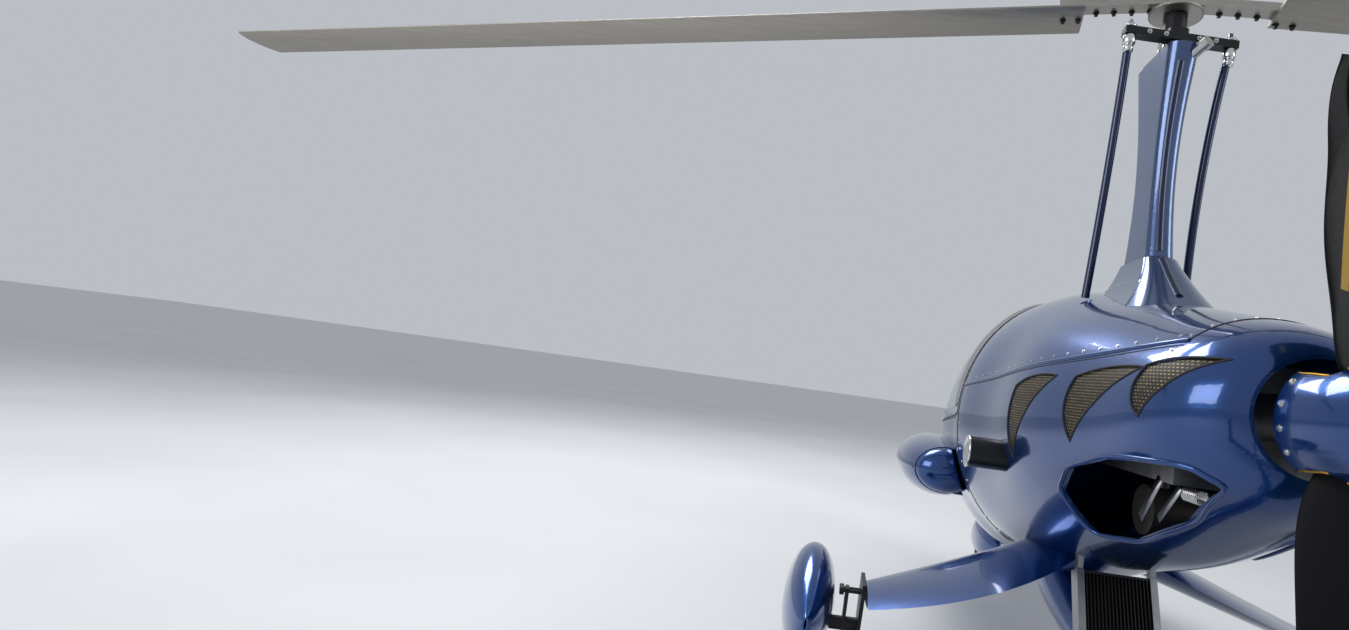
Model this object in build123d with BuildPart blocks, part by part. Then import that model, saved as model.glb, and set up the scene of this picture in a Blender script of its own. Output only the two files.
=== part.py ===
"""Two-seat composite gyrocopter standing on its wheels.

Nose toward -Y, port side +X, +Z up, ground at Z = 0, millimetres.
"""

import os
from math import cos, hypot, radians, sin

from build123d import *

os.makedirs("parts", exist_ok=True)

# Shared clearances and walls
seat_gap = 0.3
pin_clearance = 0.08
moving_gap = 8
canopy_gap = 5
skin = 10
glass_inset = 3
glass_thickness = 4
grille_inset = 3
grille_thickness = 4

# Where things stand along the machine
seam_y = -770
axle_y = -240
nose_wheel_y = -2010
prop_y = 905
tail_y = 2600

# Body sections from nose to propeller
# columns: y, half_width, z_bottom, z_top
BODY = [
    (-2600, 40, 695, 775),
    (-2570, 90, 645, 840),
    (-2500, 160, 575, 920),
    (-2360, 240, 505, 1010),
    (-2120, 318, 445, 1160),
    (-1780, 395, 405, 1365),
    (-1380, 452, 380, 1520),
    (-960, 472, 385, 1585),
    (-540, 468, 430, 1570),
    (-120, 445, 525, 1510),
    (280, 385, 650, 1435),
    (570, 332, 770, 1380),
    (750, 288, 862, 1342),
    (835, 230, 918, 1308),
    (870, 165, 975, 1262),
]

# Main wheels
half_track = 1046
wheel_radius = 200
tyre_half_width = 46
rim_radius = 104
axle_z = wheel_radius
axle_radius = 12.5
sleeve_radius = 24

# Nose wheel
nose_wheel_radius = 170
nose_tyre_half_width = 42
nose_rim_radius = 84
nose_trail = 40
column_radius = 22

# Canopy edges, side view: y, z
sill_rear_z = 985
sill_front_y = -2240
sill_front_z = 850
canopy_tip_y = -2440
frame_width = 48

# Mast, rotor head and rotor
mast_y = -100
mast_base_z = 1440
mast_top_z = 2400
rotor_y = -75
hub_z = 2610
rotor_radius = 4250
blade_chord = 205
blade_thickness = 26
blade_root_x = 330
blade_droop = 3.4
rotor_rest_angle = 12.5
rod_radius = 15
rod_end_radius = 21
rod_end_length = 30

# Propeller
prop_z = 1115
prop_radius = 780
blade_count = 2
prop_rest_angle = 4
spinner_radius = 132
spinner_length = 300

# Tail
boom_end_y = 2420
stabiliser_half_span = 960
stabiliser_z = 300
stabiliser_front_y = 2160
stabiliser_chord = 330
stabiliser_thickness = 30
end_fin_thickness = 18
fin_top_z = 930
fin_bottom_z = 190
centre_fin_top_z = 1180


def station(y):
    """Plane across the machine at y, with local x along X and local y along Z."""
    return Plane(origin=(0, y, 0), x_dir=(1, 0, 0), z_dir=(0, -1, 0))


def oval(half_width, half_height, x=0, y=0):
    """Ellipse face in two half arcs, so that sections always match end to end in a loft."""
    with BuildSketch() as section:
        with BuildLine():
            EllipticalCenterArc((x, y), half_width, half_height, start_angle=0, arc_size=180)
            EllipticalCenterArc((x, y), half_width, half_height, start_angle=180, arc_size=180)
        make_face()
    return section.sketch


def oval_form(sections, inset=0, x=0):
    """Smooth solid through elliptical sections, drawn in by inset all round."""
    first_y = sections[0][0]
    with BuildPart() as form:
        for y, half_width, z_bottom, z_top in sections:
            shift = inset if y == first_y else 0
            with BuildSketch(station(y + shift)):
                add(oval(half_width - inset, (z_top - z_bottom) / 2 - inset, x, (z_bottom + z_top) / 2))
        loft()
    return form.part


def lens(front, rear, thickness, level=0):
    """Streamlined outline in local x and y: round nose at front, sharp tail at rear."""
    crest = front + (rear - front) * 0.3
    half = thickness / 2
    EllipticalCenterArc((crest, level), crest - front, half, start_angle=90, arc_size=180)
    ThreePointArc((crest, level - half), ((crest + rear) / 2, level - half * 0.74), (rear, level))
    ThreePointArc((rear, level), ((crest + rear) / 2, level + half * 0.74), (crest, level + half))


def side_prism(points, half_width=2000, x=0):
    """Prism across the machine from a side-view outline of (y, z) points."""
    with BuildPart() as prism:
        with BuildSketch(Plane.YZ.offset(x)):
            with BuildLine():
                Polyline(*points, close=True)
            make_face()
        extrude(amount=half_width, both=True)
    return prism.part


def write(name, part):
    """Label one finished piece and write it as its own file."""
    part.label = name
    export_step(part, f"parts/{name}.step")


body_outer = oval_form(BODY)
body_inner = oval_form(BODY, skin)
body_clear = oval_form(BODY, -seat_gap)
body_lining = oval_form(BODY, skin + seat_gap)
with BuildPart() as body_wall:
    add(body_outer)
    add(body_inner, mode=Mode.SUBTRACT)

# Canopy opening, its edge, and the window inside the frame
above = 2000
canopy_cut = side_prism([
    (seam_y - 30, above),
    (seam_y - 30, sill_rear_z),
    (sill_front_y, sill_front_z),
    (canopy_tip_y, above),
])
canopy_edge = side_prism([
    (seam_y - 30 - canopy_gap, above),
    (seam_y - 30 - canopy_gap, sill_rear_z + canopy_gap),
    (sill_front_y + canopy_gap, sill_front_z + canopy_gap),
    (canopy_tip_y + canopy_gap * 2, above),
])


def window_prism(border):
    """Side-view region of the window, drawn in by border from the canopy's edge."""
    return side_prism([
        (seam_y - 30 - canopy_gap - border, above),
        (seam_y - 30 - canopy_gap - border, sill_rear_z + canopy_gap + border),
        (sill_front_y + border, sill_front_z + canopy_gap + border),
        (canopy_tip_y + border * 1.6, above),
    ])


# Canopy hinges outside the starboard sill, along one slanted line
hinge_offset = 14
hinge_eye_radius = 9
hinge_pin_radius = 5
hinge_lug_thickness = 14
hinge_eye_thickness = 12
hinge_side_gap = 1
hinge_rear = (-472 - hinge_offset, -980, 970)
hinge_front = (-444 - hinge_offset, -1450, 926)
hinge_direction = tuple(b - a for a, b in zip(hinge_rear, hinge_front))


def hinge_tab(point, shift, thickness, up):
    """Round-ended tab about the hinge line, reaching in to the wall above or below the sill."""
    plane = Plane(origin=point, x_dir=(1, 0, 0), z_dir=hinge_direction).offset(shift)
    rise = (plane.y_dir.Z > 0) == up
    with BuildPart() as tab:
        with BuildSketch(plane):
            Circle(hinge_eye_radius)
            with Locations((hinge_offset / 2 + 1, 14 if rise else -14)):
                Rectangle(hinge_offset + 5, 18)
            with Locations((0, 7 if rise else -7)):
                Rectangle(12, 14)
        extrude(amount=thickness)
    return tab.part


def hinge_rod(point, radius):
    """Pin through the lug and the eye beside it."""
    with BuildPart() as rod:
        with BuildSketch(Plane(origin=point, x_dir=(1, 0, 0), z_dir=hinge_direction)):
            Circle(radius)
        extrude(amount=hinge_lug_thickness + hinge_side_gap + hinge_eye_thickness + 2)
    return rod.part



# Front fuselage: hollow cabin tub with a firewall
firewall_thickness = 16
strut_y = nose_wheel_y - nose_trail
strut_housing_radius = 38
with BuildPart() as cabin_shell:
    add(body_wall.part)
    add(side_prism([(seam_y, 0), (seam_y, 2000), (3000, 2000), (3000, 0)]), mode=Mode.SUBTRACT)
    add(canopy_cut, mode=Mode.SUBTRACT)
    with BuildPart(mode=Mode.PRIVATE) as firewall:
        add(body_inner)
        wall_front = seam_y - firewall_thickness
        add(side_prism([(wall_front, 0), (wall_front, 2000), (seam_y, 2000), (seam_y, 0)]), mode=Mode.INTERSECT)
    add(firewall.part)
    with BuildSketch(Plane.XY):
        with Locations((0, strut_y)):
            Circle(strut_housing_radius + seat_gap)
    extrude(amount=700, mode=Mode.SUBTRACT)
    for point in (hinge_rear, hinge_front):
        add(hinge_tab(point, 0, hinge_lug_thickness, False))
        add(hinge_rod(point, hinge_pin_radius))
write("cabin_shell", cabin_shell.part)

# Canopy frame and its bubble glass
with BuildPart() as canopy_frame:
    add(body_wall.part)
    add(canopy_edge, mode=Mode.INTERSECT)
    add(window_prism(frame_width), mode=Mode.SUBTRACT)
    for point in (hinge_rear, hinge_front):
        add(hinge_tab(point, hinge_lug_thickness + hinge_side_gap, hinge_eye_thickness, True))
        add(hinge_rod(point, hinge_pin_radius + pin_clearance), mode=Mode.SUBTRACT)
write("canopy_frame", canopy_frame.part)

with BuildPart() as canopy_glass:
    add(oval_form(BODY, glass_inset))
    add(window_prism(frame_width + seat_gap), mode=Mode.INTERSECT)
    add(oval_form(BODY, glass_inset + glass_thickness), mode=Mode.SUBTRACT)
write("canopy_glass", canopy_glass.part)

# Cowl: side panels with gills, and the hump cover over the mast foot
seam = 0.3
hump_rear_y = 700
rail_front_z = 1120
rail_rear_z = 1268

# Gills, side view from their lower tip: y, z, length along the top, height
GILLS = [
    (-30, 885, 290, 285),
    (350, 985, 330, 215),
    (668, 1080, 195, 145),
]


def gill_prism(grow=0):
    """All gills of both sides as prisms: each swept from a low tip back to a high one."""
    with BuildPart() as gills:
        for y, z, length, height in GILLS:
            with BuildSketch(Plane.YZ):
                with BuildLine():
                    low_tip = (y, z)
                    shoulder = (y - 30, z + height * 0.86)
                    high_tip = (y + length * 0.82, z + height)
                    ThreePointArc(low_tip, (y - 45, z + height * 0.45), shoulder)
                    ThreePointArc(shoulder, (y + length * 0.3, z + height * 0.98), high_tip)
                    ThreePointArc(high_tip, (y + length * 0.38, z + height * 0.62), low_tip)
                make_face()
                if grow:
                    offset(amount=grow)
            extrude(amount=600, both=True)
    return gills.part


gills = gill_prism()

hump_region = side_prism([
    (seam_y + seam, 2000),
    (seam_y + seam, rail_front_z),
    (hump_rear_y, rail_rear_z),
    (hump_rear_y, 2000),
])
side_opening = side_prism([
    (240, 830),
    (330, 905),
    (520, 955),
    (760, 975),
    (800, 940),
    (640, 840),
    (420, 745),
    (260, 720),
])
with BuildPart() as engine_cowl:
    add(body_wall.part)
    add(side_prism([(seam_y + seam, 0), (seam_y + seam, 2000), (3000, 2000), (3000, 0)]), mode=Mode.INTERSECT)
    add(side_prism([
        (seam_y, 2000),
        (seam_y, rail_front_z - seam),
        (hump_rear_y + seam, rail_rear_z - seam),
        (hump_rear_y + seam, 2000),
    ]), mode=Mode.SUBTRACT)
    add(gills, mode=Mode.SUBTRACT)
    add(side_opening, mode=Mode.SUBTRACT)
write("engine_cowl", engine_cowl.part)

mast_foot_half_width = 58
mast_foot_half_chord = 145
rod_foot_x = 185
rod_foot_y = -160
with BuildPart() as hump_cover:
    add(body_wall.part)
    add(hump_region, mode=Mode.INTERSECT)
    with BuildSketch(Plane.XY):
        with Locations((0, mast_y)):
            RectangleRounded(
                2 * (mast_foot_half_width + seat_gap),
                2 * (mast_foot_half_chord + seat_gap),
                mast_foot_half_width * 0.7,
            )
        with Locations((rod_foot_x, rod_foot_y), (-rod_foot_x, rod_foot_y)):
            Circle(rod_radius + 6)
    extrude(amount=2000, mode=Mode.SUBTRACT)
write("hump_cover", hump_cover.part)

with BuildPart() as gill_grilles:
    add(oval_form(BODY, grille_inset))
    add(oval_form(BODY, grille_inset + grille_thickness), mode=Mode.SUBTRACT)
    add(gill_prism(-seat_gap), mode=Mode.INTERSECT)
write("gill_grilles", gill_grilles.part)

# Engine as one plain block with its shaft housing and the tubes of its mount
engine_front_y = 60
engine_rear_y = 620
engine_half_width = 190
engine_bottom_z = 920
engine_top_z = 1250
shaft_housing_radius = 60
shaft_radius = 20
shaft_depth = 60
housing_end_y = prop_y - 12
mount_tube_radius = 14
mount_tube_x = 150
with BuildPart() as engine_block:
    with BuildSketch(station(engine_front_y)):
        with Locations((0, (engine_bottom_z + engine_top_z) / 2)):
            Rectangle(engine_half_width * 2, engine_top_z - engine_bottom_z)
    extrude(amount=-(engine_rear_y - engine_front_y))
    with BuildSketch(station(engine_rear_y)):
        with Locations((0, prop_z)):
            Circle(shaft_housing_radius)
    extrude(amount=-(housing_end_y - engine_rear_y))
    with BuildSketch(station(housing_end_y)):
        with Locations((0, prop_z)):
            Circle(shaft_radius + pin_clearance)
    extrude(amount=shaft_depth, mode=Mode.SUBTRACT)
    with BuildSketch(station(engine_front_y)):
        for z in (engine_bottom_z + 40, engine_top_z - 40):
            with Locations((mount_tube_x, z), (-mount_tube_x, z)):
                Circle(mount_tube_radius)
    extrude(amount=engine_front_y - seam_y - seat_gap)
write("engine_block", engine_block.part)

# Muffler under the engine, across the machine
muffler_y = 360
muffler_z = 820
muffler_radius = 70
muffler_half_length = 140
with BuildPart() as muffler:
    with BuildSketch(Plane.YZ.offset(-muffler_half_length)):
        with Locations((muffler_y, muffler_z)):
            Circle(muffler_radius)
    extrude(amount=2 * muffler_half_length)
    with BuildSketch(Plane.XY.offset(muffler_z)):
        with Locations((-90, muffler_y), (90, muffler_y)):
            Circle(20)
    extrude(amount=engine_bottom_z - seat_gap - muffler_z)
write("muffler", muffler.part)

# Cylindrical air filters standing out of the cowl at the foot of the first gill
filter_y = -152
filter_z = 878
filter_radius = 54
filter_end_x = 556
with BuildPart() as air_filters:
    for side in (1, -1):
        with BuildSketch(Plane.YZ.offset(side * 380)):
            with Locations((filter_y, filter_z)):
                Circle(filter_radius)
        extrude(amount=side * (filter_end_x - 380))
    add(body_clear, mode=Mode.SUBTRACT)
write("air_filters", air_filters.part)

# Side pods on the cabin
# columns: y, half_width, z_bottom, z_top
pod_x = 480
POD = [
    (-2120, 12, 690, 720),
    (-1980, 80, 620, 780),
    (-1650, 170, 570, 840),
    (-1300, 200, 560, 850),
    (-1000, 150, 600, 820),
]
pod_wall = 7
with BuildPart() as side_pods:
    for x in (pod_x, -pod_x):
        add(oval_form(POD, 0, x))
        add(oval_form(POD, pod_wall, x), mode=Mode.SUBTRACT)
    add(body_clear, mode=Mode.SUBTRACT)
write("side_pods", side_pods.part)


# Cabin floor, the steel floor and keel frame in one plate behind the nose strut
floor_z = 465
floor_thickness = 18
floor_front_y = -1990
with BuildPart() as cabin_floor:
    add(side_prism([
        (floor_front_y, floor_z),
        (floor_front_y, floor_z + floor_thickness),
        (wall_front - seat_gap, floor_z + floor_thickness),
        (wall_front - seat_gap, floor_z),
    ]))
    add(body_lining, mode=Mode.INTERSECT)
write("cabin_floor", cabin_floor.part)


def seat(front_y, pan_z, half_width):
    """One moulded seat as one solid: pan, reclined back and the box that it stands on."""
    pan = 380
    back = 560
    thickness = 70
    foot_z = floor_z + floor_thickness + seat_gap
    with BuildPart() as form:
        with BuildSketch(Plane.YZ.offset(-half_width)):
            with BuildLine():
                Polyline(
                    (front_y, pan_z),
                    (front_y, pan_z + 100),
                    (front_y + pan, pan_z + 50),
                    (front_y + pan + 190, pan_z + 50 + back),
                    (front_y + pan + 190 + thickness, pan_z + 40 + back),
                    (front_y + pan + thickness, pan_z),
                    close=True,
                )
            make_face()
        extrude(amount=2 * half_width)
        fillet(form.edges().filter_by(Axis.X), radius=20)
        with BuildSketch(Plane.XY.offset(foot_z)):
            with Locations((0, front_y + pan * 0.6)):
                Rectangle(2 * half_width - 80, pan * 0.6)
        extrude(amount=pan_z + 20 - foot_z)
    return form.part


front_seat_y = -1980
rear_seat_y = -1480
front_pan_z = 530
rear_pan_z = 500
seat_half_width = 190
write("seat_front", seat(front_seat_y, front_pan_z, seat_half_width))
write("seat_rear", seat(rear_seat_y, rear_pan_z, seat_half_width))

# Instrument panel in front of the forward seat
panel_y = -2180
panel_bottom_z = 640
panel_shoulder_z = 800
panel_half_width = 215
with BuildPart() as instrument_panel:
    add(side_prism([
        (panel_y, panel_bottom_z),
        (panel_y + 30, panel_bottom_z),
        (panel_y + 60, 1010),
        (panel_y - 60, 985),
    ], panel_half_width))
    add(side_prism([
        (panel_y, panel_bottom_z),
        (panel_y + 30, panel_bottom_z),
        (panel_y + 30, panel_shoulder_z),
        (panel_y, panel_shoulder_z),
    ]))
    add(body_lining, mode=Mode.INTERSECT)
write("instrument_panel", instrument_panel.part)


def mast_section(z, half_width, half_chord, y, grow=0):
    """One section of the mast fairing or its collar: a box with well rounded corners."""
    with BuildSketch(Plane.XY.offset(z)) as section:
        with Locations((0, y)):
            RectangleRounded(2 * (half_width + grow), 2 * (half_chord + grow), half_width * 0.8 + grow)
    return section.sketch


# Faired mast: columns z, half_width, half_chord, y
MAST = [
    (mast_base_z, mast_foot_half_width, mast_foot_half_chord, mast_y),
    (1640, 48, 122, mast_y - 2),
    (2050, 43, 106, mast_y - 10),
    (2280, 50, 138, mast_y - 10),
    (mast_top_z, 56, 160, mast_y - 5),
]
with BuildPart() as mast_fairing:
    loft([mast_section(*row) for row in MAST])
write("mast_fairing", mast_fairing.part)

with BuildPart() as mast_clear:
    loft([mast_section(*row, seat_gap) for row in MAST])

# Flared collar round the mast foot, seated on the hump
collar_top_z = 1630
COLLAR = [
    (1380, 200, 340, mast_y + 60),
    (1500, 112, 232, mast_y + 30),
    (collar_top_z, 58, 136, mast_y),
]
with BuildPart() as mast_collar:
    loft([mast_section(*row) for row in COLLAR])
    add(mast_clear.part, mode=Mode.SUBTRACT)
    add(body_clear, mode=Mode.SUBTRACT)
write("mast_collar", mast_collar.part)

# Short capped tube near the mast top
stub_z = 2330
with BuildPart() as mast_stub:
    with BuildSketch(Plane(origin=(0, mast_y + 60, stub_z), z_dir=(-0.35, 0.85, 0.4))):
        Circle(17)
    extrude(amount=150)
    with BuildSketch(Plane(origin=(0, mast_y + 60, stub_z), z_dir=(-0.35, 0.85, 0.4)).offset(128)):
        Circle(23)
    extrude(amount=24)
    add(mast_clear.part, mode=Mode.SUBTRACT)
write("mast_stub", mast_stub.part)

# Rotor head: cheek plates, torque bar and cross arm that the control rods meet
head_z = mast_top_z + seat_gap
bearing_radius = 42
bearing_top_z = 2555
rotor_shaft_radius = 18
rotor_shaft_depth = 40
arm_half_span = 205
arm_y = -20
with BuildPart() as rotor_head:
    with BuildSketch(Plane.XY.offset(head_z)):
        with Locations((0, mast_y)):
            RectangleRounded(100, 240, 20)
    extrude(amount=14)
    with BuildSketch(Plane.XY.offset(head_z)):
        with Locations((0, rotor_y)):
            RectangleRounded(70, 110, 12)
    extrude(amount=90)
    with BuildSketch(Plane.XY.offset(head_z)):
        with Locations((0, rotor_y)):
            Circle(bearing_radius)
    extrude(amount=bearing_top_z - head_z)
    with BuildSketch(Plane.XY.offset(head_z + 30)):
        with Locations((0, arm_y)):
            Rectangle(2 * arm_half_span, 44)
        with Locations((0, (arm_y + rotor_y) / 2)):
            Rectangle(44, abs(arm_y - rotor_y) + 20)
    extrude(amount=28)
    with BuildSketch(Plane.XY.offset(bearing_top_z)):
        with Locations((0, rotor_y)):
            Circle(rotor_shaft_radius + pin_clearance)
    extrude(amount=-(rotor_shaft_depth + 5), mode=Mode.SUBTRACT)
write("rotor_head", rotor_head.part)

# Bowed control rods from the hump to the ends of the cross arm
rod_top_z = head_z + 30 - seat_gap
rod_bottom_z = 1490


def control_rod(side):
    """Bowed tube up beside the mast."""
    foot = (side * rod_foot_x, rod_foot_y - 20, rod_bottom_z)
    mid = (side * (rod_foot_x - 12), (rod_foot_y + arm_y) / 2 - 30, (rod_bottom_z + rod_top_z) / 2)
    top = (side * (arm_half_span - 22), arm_y, rod_top_z)
    with BuildPart() as rod:
        with BuildLine() as path:
            ThreePointArc(foot, mid, top)
        with BuildSketch(Plane(origin=path.line @ 0, z_dir=path.line % 0)):
            Circle(rod_radius)
        sweep()
        with BuildSketch(Plane.XY.offset(rod_top_z)):
            Rectangle(2000, 2000)
        extrude(amount=100, mode=Mode.SUBTRACT)
        with BuildSketch(Plane.XY.offset(rod_top_z)):
            with Locations((top[0], top[1])):
                Circle(rod_end_radius)
        extrude(amount=-rod_end_length)
    return rod.part


write("control_rod_left", control_rod(1))
write("control_rod_right", control_rod(-1))

# Rotor: hub tower and bar, ring gear, and two blades
ring_gear_radius = 95
ring_gear_teeth = 60
tooth_depth = 5
tooth_gap = 4
hub_bar_half_length = 420
hub_bar_width = 62
hub_bar_height = 30
teeter_axis = Axis((0, rotor_y, hub_z), (0, 1, 0))


def to_side(part, side):
    """One of the rotor's two equal halves, drooped about the hub and turned to its side."""
    turn = -rotor_rest_angle if side > 0 else 180 - rotor_rest_angle
    return part.rotate(teeter_axis, blade_droop).rotate(Axis((0, rotor_y, 0), (0, 0, 1)), turn)


with BuildPart() as hub_bar:
    with BuildSketch(Plane.XY.offset(hub_z - hub_bar_height / 2)):
        with Locations((hub_bar_half_length / 2, rotor_y)):
            Rectangle(hub_bar_half_length, hub_bar_width)
    extrude(amount=hub_bar_height)
with BuildPart() as rotor_hub:
    with BuildSketch(Plane.XY.offset(bearing_top_z - rotor_shaft_depth)):
        with Locations((0, rotor_y)):
            Circle(rotor_shaft_radius)
    extrude(amount=rotor_shaft_depth + 5)
    with BuildSketch(Plane.XY.offset(bearing_top_z + 5)):
        with Locations((0, rotor_y)):
            Circle(ring_gear_radius)
            with PolarLocations(ring_gear_radius - tooth_depth / 2, ring_gear_teeth):
                Rectangle(tooth_depth + 1, tooth_gap, mode=Mode.SUBTRACT)
    extrude(amount=8)
    with BuildSketch(Plane.XY.offset(bearing_top_z + 13)):
        with Locations((0, rotor_y)):
            Rectangle(70, 90, rotation=-rotor_rest_angle)
    extrude(amount=hub_z + 40 - bearing_top_z - 13)
    for side in (1, -1):
        add(to_side(hub_bar.part, side))
write("rotor_hub", rotor_hub.part)


# Constant-chord blade, its round nose leading a rotor that turns to port ahead of the mast
blade_root_z = hub_z - (hub_bar_height + blade_thickness) / 2 - seat_gap
with BuildPart() as rotor_blade:
    with BuildSketch(Plane(origin=(blade_root_x, rotor_y, blade_root_z), x_dir=(0, -1, 0), z_dir=(1, 0, 0))):
        with BuildLine():
            lens(-blade_chord * 0.3, blade_chord * 0.7, blade_thickness)
        make_face()
    extrude(amount=rotor_radius - blade_root_x)
write("rotor_blade_left", to_side(rotor_blade.part, 1))
write("rotor_blade_right", to_side(rotor_blade.part, -1))

# Propeller: hub plate, two blades and the spinner
hub_plate_radius = 80
prop_hub_thickness = 70
blade_plane_y = prop_y + 50
PROP_BLADE = [
    (60, 84, 34, 42),
    (200, 190, 24, 32),
    (400, 196, 16, 22),
    (600, 150, 10, 15),
    (prop_radius, 70, 6, 10),
]


def prop_blade(turn):
    """Twisted blade: columns radius, chord, thickness, pitch in degrees."""
    sections = []
    for radius, chord, thickness, pitch in PROP_BLADE:
        plane = Plane(origin=(0, blade_plane_y, prop_z + radius), x_dir=(1, 0, 0), z_dir=(0, 0, 1))
        with BuildSketch(plane.rotated((0, 0, pitch))) as section:
            Ellipse(chord / 2, thickness / 2)
        sections.append(section.sketch)
    with BuildPart() as blade:
        loft(sections)
    return blade.part.rotate(Axis((0, 0, prop_z), (0, 1, 0)), turn)


with BuildPart() as prop_hub:
    with BuildSketch(station(prop_y)):
        with Locations((0, prop_z)):
            Circle(hub_plate_radius)
    extrude(amount=-prop_hub_thickness)
    with BuildSketch(station(prop_y)):
        with Locations((0, prop_z)):
            Circle(shaft_radius)
    extrude(amount=prop_y - housing_end_y + shaft_depth - 5)
    for index in range(blade_count):
        add(prop_blade(prop_rest_angle + index * 360 / blade_count), mode=Mode.SUBTRACT)
write("prop_hub", prop_hub.part)

with BuildPart() as prop_blades:
    for index in range(blade_count):
        add(prop_blade(prop_rest_angle + index * 360 / blade_count))
write("prop_blades", prop_blades.part)

# Slots that the blade roots pass through, as wide as the root and a gap
spinner_rim = 20
slot_half_width = 84
slot_half_depth = 62
with BuildPart() as blade_slots:
    for index in range(blade_count):
        turn = radians(prop_rest_angle + index * 360 / blade_count)
        outward = Plane(origin=(0, blade_plane_y, prop_z), x_dir=(0, 1, 0), z_dir=(sin(turn), 0, cos(turn)))
        with BuildSketch(outward.offset(hub_plate_radius - 30)):
            RectangleRounded(2 * slot_half_depth, 2 * slot_half_width, 24)
        extrude(amount=spinner_radius)
with BuildPart() as spinner:
    with BuildSketch(Plane.YZ):
        with BuildLine():
            base = Line((prop_y - 4, prop_z), (prop_y - 4, prop_z + spinner_radius))
            Line(base @ 1, (prop_y + spinner_rim, prop_z + spinner_radius))
            EllipticalCenterArc(
                (prop_y + spinner_rim, prop_z),
                spinner_length - spinner_rim,
                spinner_radius,
                start_angle=0,
                arc_size=90,
            )
            Line((prop_y + spinner_length, prop_z), base @ 0)
        make_face()
    revolve(axis=Axis((0, 0, prop_z), (0, 1, 0)))
    with BuildSketch(station(prop_y - 1)):
        with Locations((0, prop_z)):
            Circle(hub_plate_radius + seat_gap)
    extrude(amount=-(prop_hub_thickness + 1 + seat_gap), mode=Mode.SUBTRACT)
    with BuildSketch(station(prop_y - 10)):
        with Locations((0, prop_z)):
            Circle(shaft_housing_radius + moving_gap)
    extrude(amount=-12, mode=Mode.SUBTRACT)
    add(blade_slots.part, mode=Mode.SUBTRACT)
write("spinner", spinner.part)

# Radiator behind the belly
radiator_x = 40
radiator_half_width = 135
radiator_top = (-25, 545)
radiator_bottom = (60, 340)
radiator_thickness = 56
tank_width = 24
bracket_top_z = 680
core_depth = 16
fin_pitch = 12
fin_thickness = 2.5
frame_bar = 8
rake = Plane(
    origin=(radiator_x, radiator_bottom[0], radiator_bottom[1]),
    x_dir=(1, 0, 0),
    z_dir=(0, radiator_bottom[1] - radiator_top[1], radiator_top[0] - radiator_bottom[0]),
)
radiator_height = hypot(radiator_top[0] - radiator_bottom[0], radiator_top[1] - radiator_bottom[1])
core_width = 2 * (radiator_half_width - tank_width)
core_height = radiator_height - 4
with BuildPart() as radiator_core:
    with BuildSketch(rake):
        with Locations((0, radiator_height / 2)):
            Rectangle(core_width, core_height)
    extrude(amount=core_depth / 2, both=True)
    with BuildSketch(rake):
        with Locations((0, radiator_height / 2)):
            with GridLocations(fin_pitch, 1, int(core_width / fin_pitch), 1):
                Rectangle(fin_thickness, core_height - 2 * frame_bar)
            with GridLocations(1, core_height - frame_bar, 1, 2):
                Rectangle(core_width, frame_bar)
    extrude(amount=radiator_thickness / 2 - 4, both=True)
write("radiator_core", radiator_core.part)

with BuildPart() as radiator_tanks:
    with BuildSketch(rake):
        for side in (1, -1):
            with Locations((side * (radiator_half_width - tank_width / 2 + seat_gap), radiator_height / 2)):
                Rectangle(tank_width, radiator_height)
    extrude(amount=radiator_thickness / 2, both=True)
    with BuildSketch(Plane.XY.offset(radiator_top[1] - 30)):
        for side in (1, -1):
            with Locations((radiator_x + side * (radiator_half_width - tank_width / 2), radiator_top[0] + 8)):
                Rectangle(tank_width - 6, 26)
    extrude(amount=bracket_top_z - radiator_top[1] + 30)
    add(body_clear, mode=Mode.SUBTRACT)
write("radiator_tanks", radiator_tanks.part)

# Tail boom: columns y, half_width, z_bottom, z_top
BOOM = [
    (-900, 70, 380, 470),
    (-500, 108, 225, 470),
    (-120, 84, 188, 318),
    (300, 74, 180, 298),
    (720, 67, 180, 292),
    (1140, 61, 183, 290),
    (1560, 56, 195, 298),
    (1990, 48, 220, 318),
    (boom_end_y, 34, 255, 345),
]
boom_wall = 6
boom_clear = oval_form(BOOM, -seat_gap)
with BuildPart() as tail_boom:
    add(oval_form(BOOM))
    add(oval_form(BOOM, boom_wall), mode=Mode.SUBTRACT)
    add(body_clear, mode=Mode.SUBTRACT)
write("tail_boom", tail_boom.part)


stabiliser_rear_y = stabiliser_front_y + stabiliser_chord
with BuildPart() as stabiliser:
    with BuildSketch(Plane.YZ.offset(-stabiliser_half_span)):
        with BuildLine():
            lens(stabiliser_front_y, stabiliser_rear_y, stabiliser_thickness, stabiliser_z)
        make_face()
    extrude(amount=2 * stabiliser_half_span)
    add(boom_clear, mode=Mode.SUBTRACT)
write("stabiliser", stabiliser.part)


def end_fin(side):
    """Swept end fin standing on the stabiliser's tip."""
    x = side * (stabiliser_half_span + seat_gap)
    with BuildPart() as fin:
        with BuildSketch(Plane.YZ.offset(x)):
            with BuildLine():
                Polyline(
                    (stabiliser_front_y + 20, fin_bottom_z),
                    (stabiliser_front_y - 20, stabiliser_z),
                    (stabiliser_front_y + 190, fin_top_z),
                    (tail_y, fin_top_z - 20),
                    (tail_y - 40, stabiliser_z),
                    (tail_y - 110, fin_bottom_z),
                    close=True,
                )
            make_face()
        extrude(amount=side * end_fin_thickness)
        fillet(fin.edges().group_by(Axis.X)[-1 if side > 0 else 0], radius=7)
    return fin.part


write("end_fin_left", end_fin(1))
write("end_fin_right", end_fin(-1))

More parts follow.
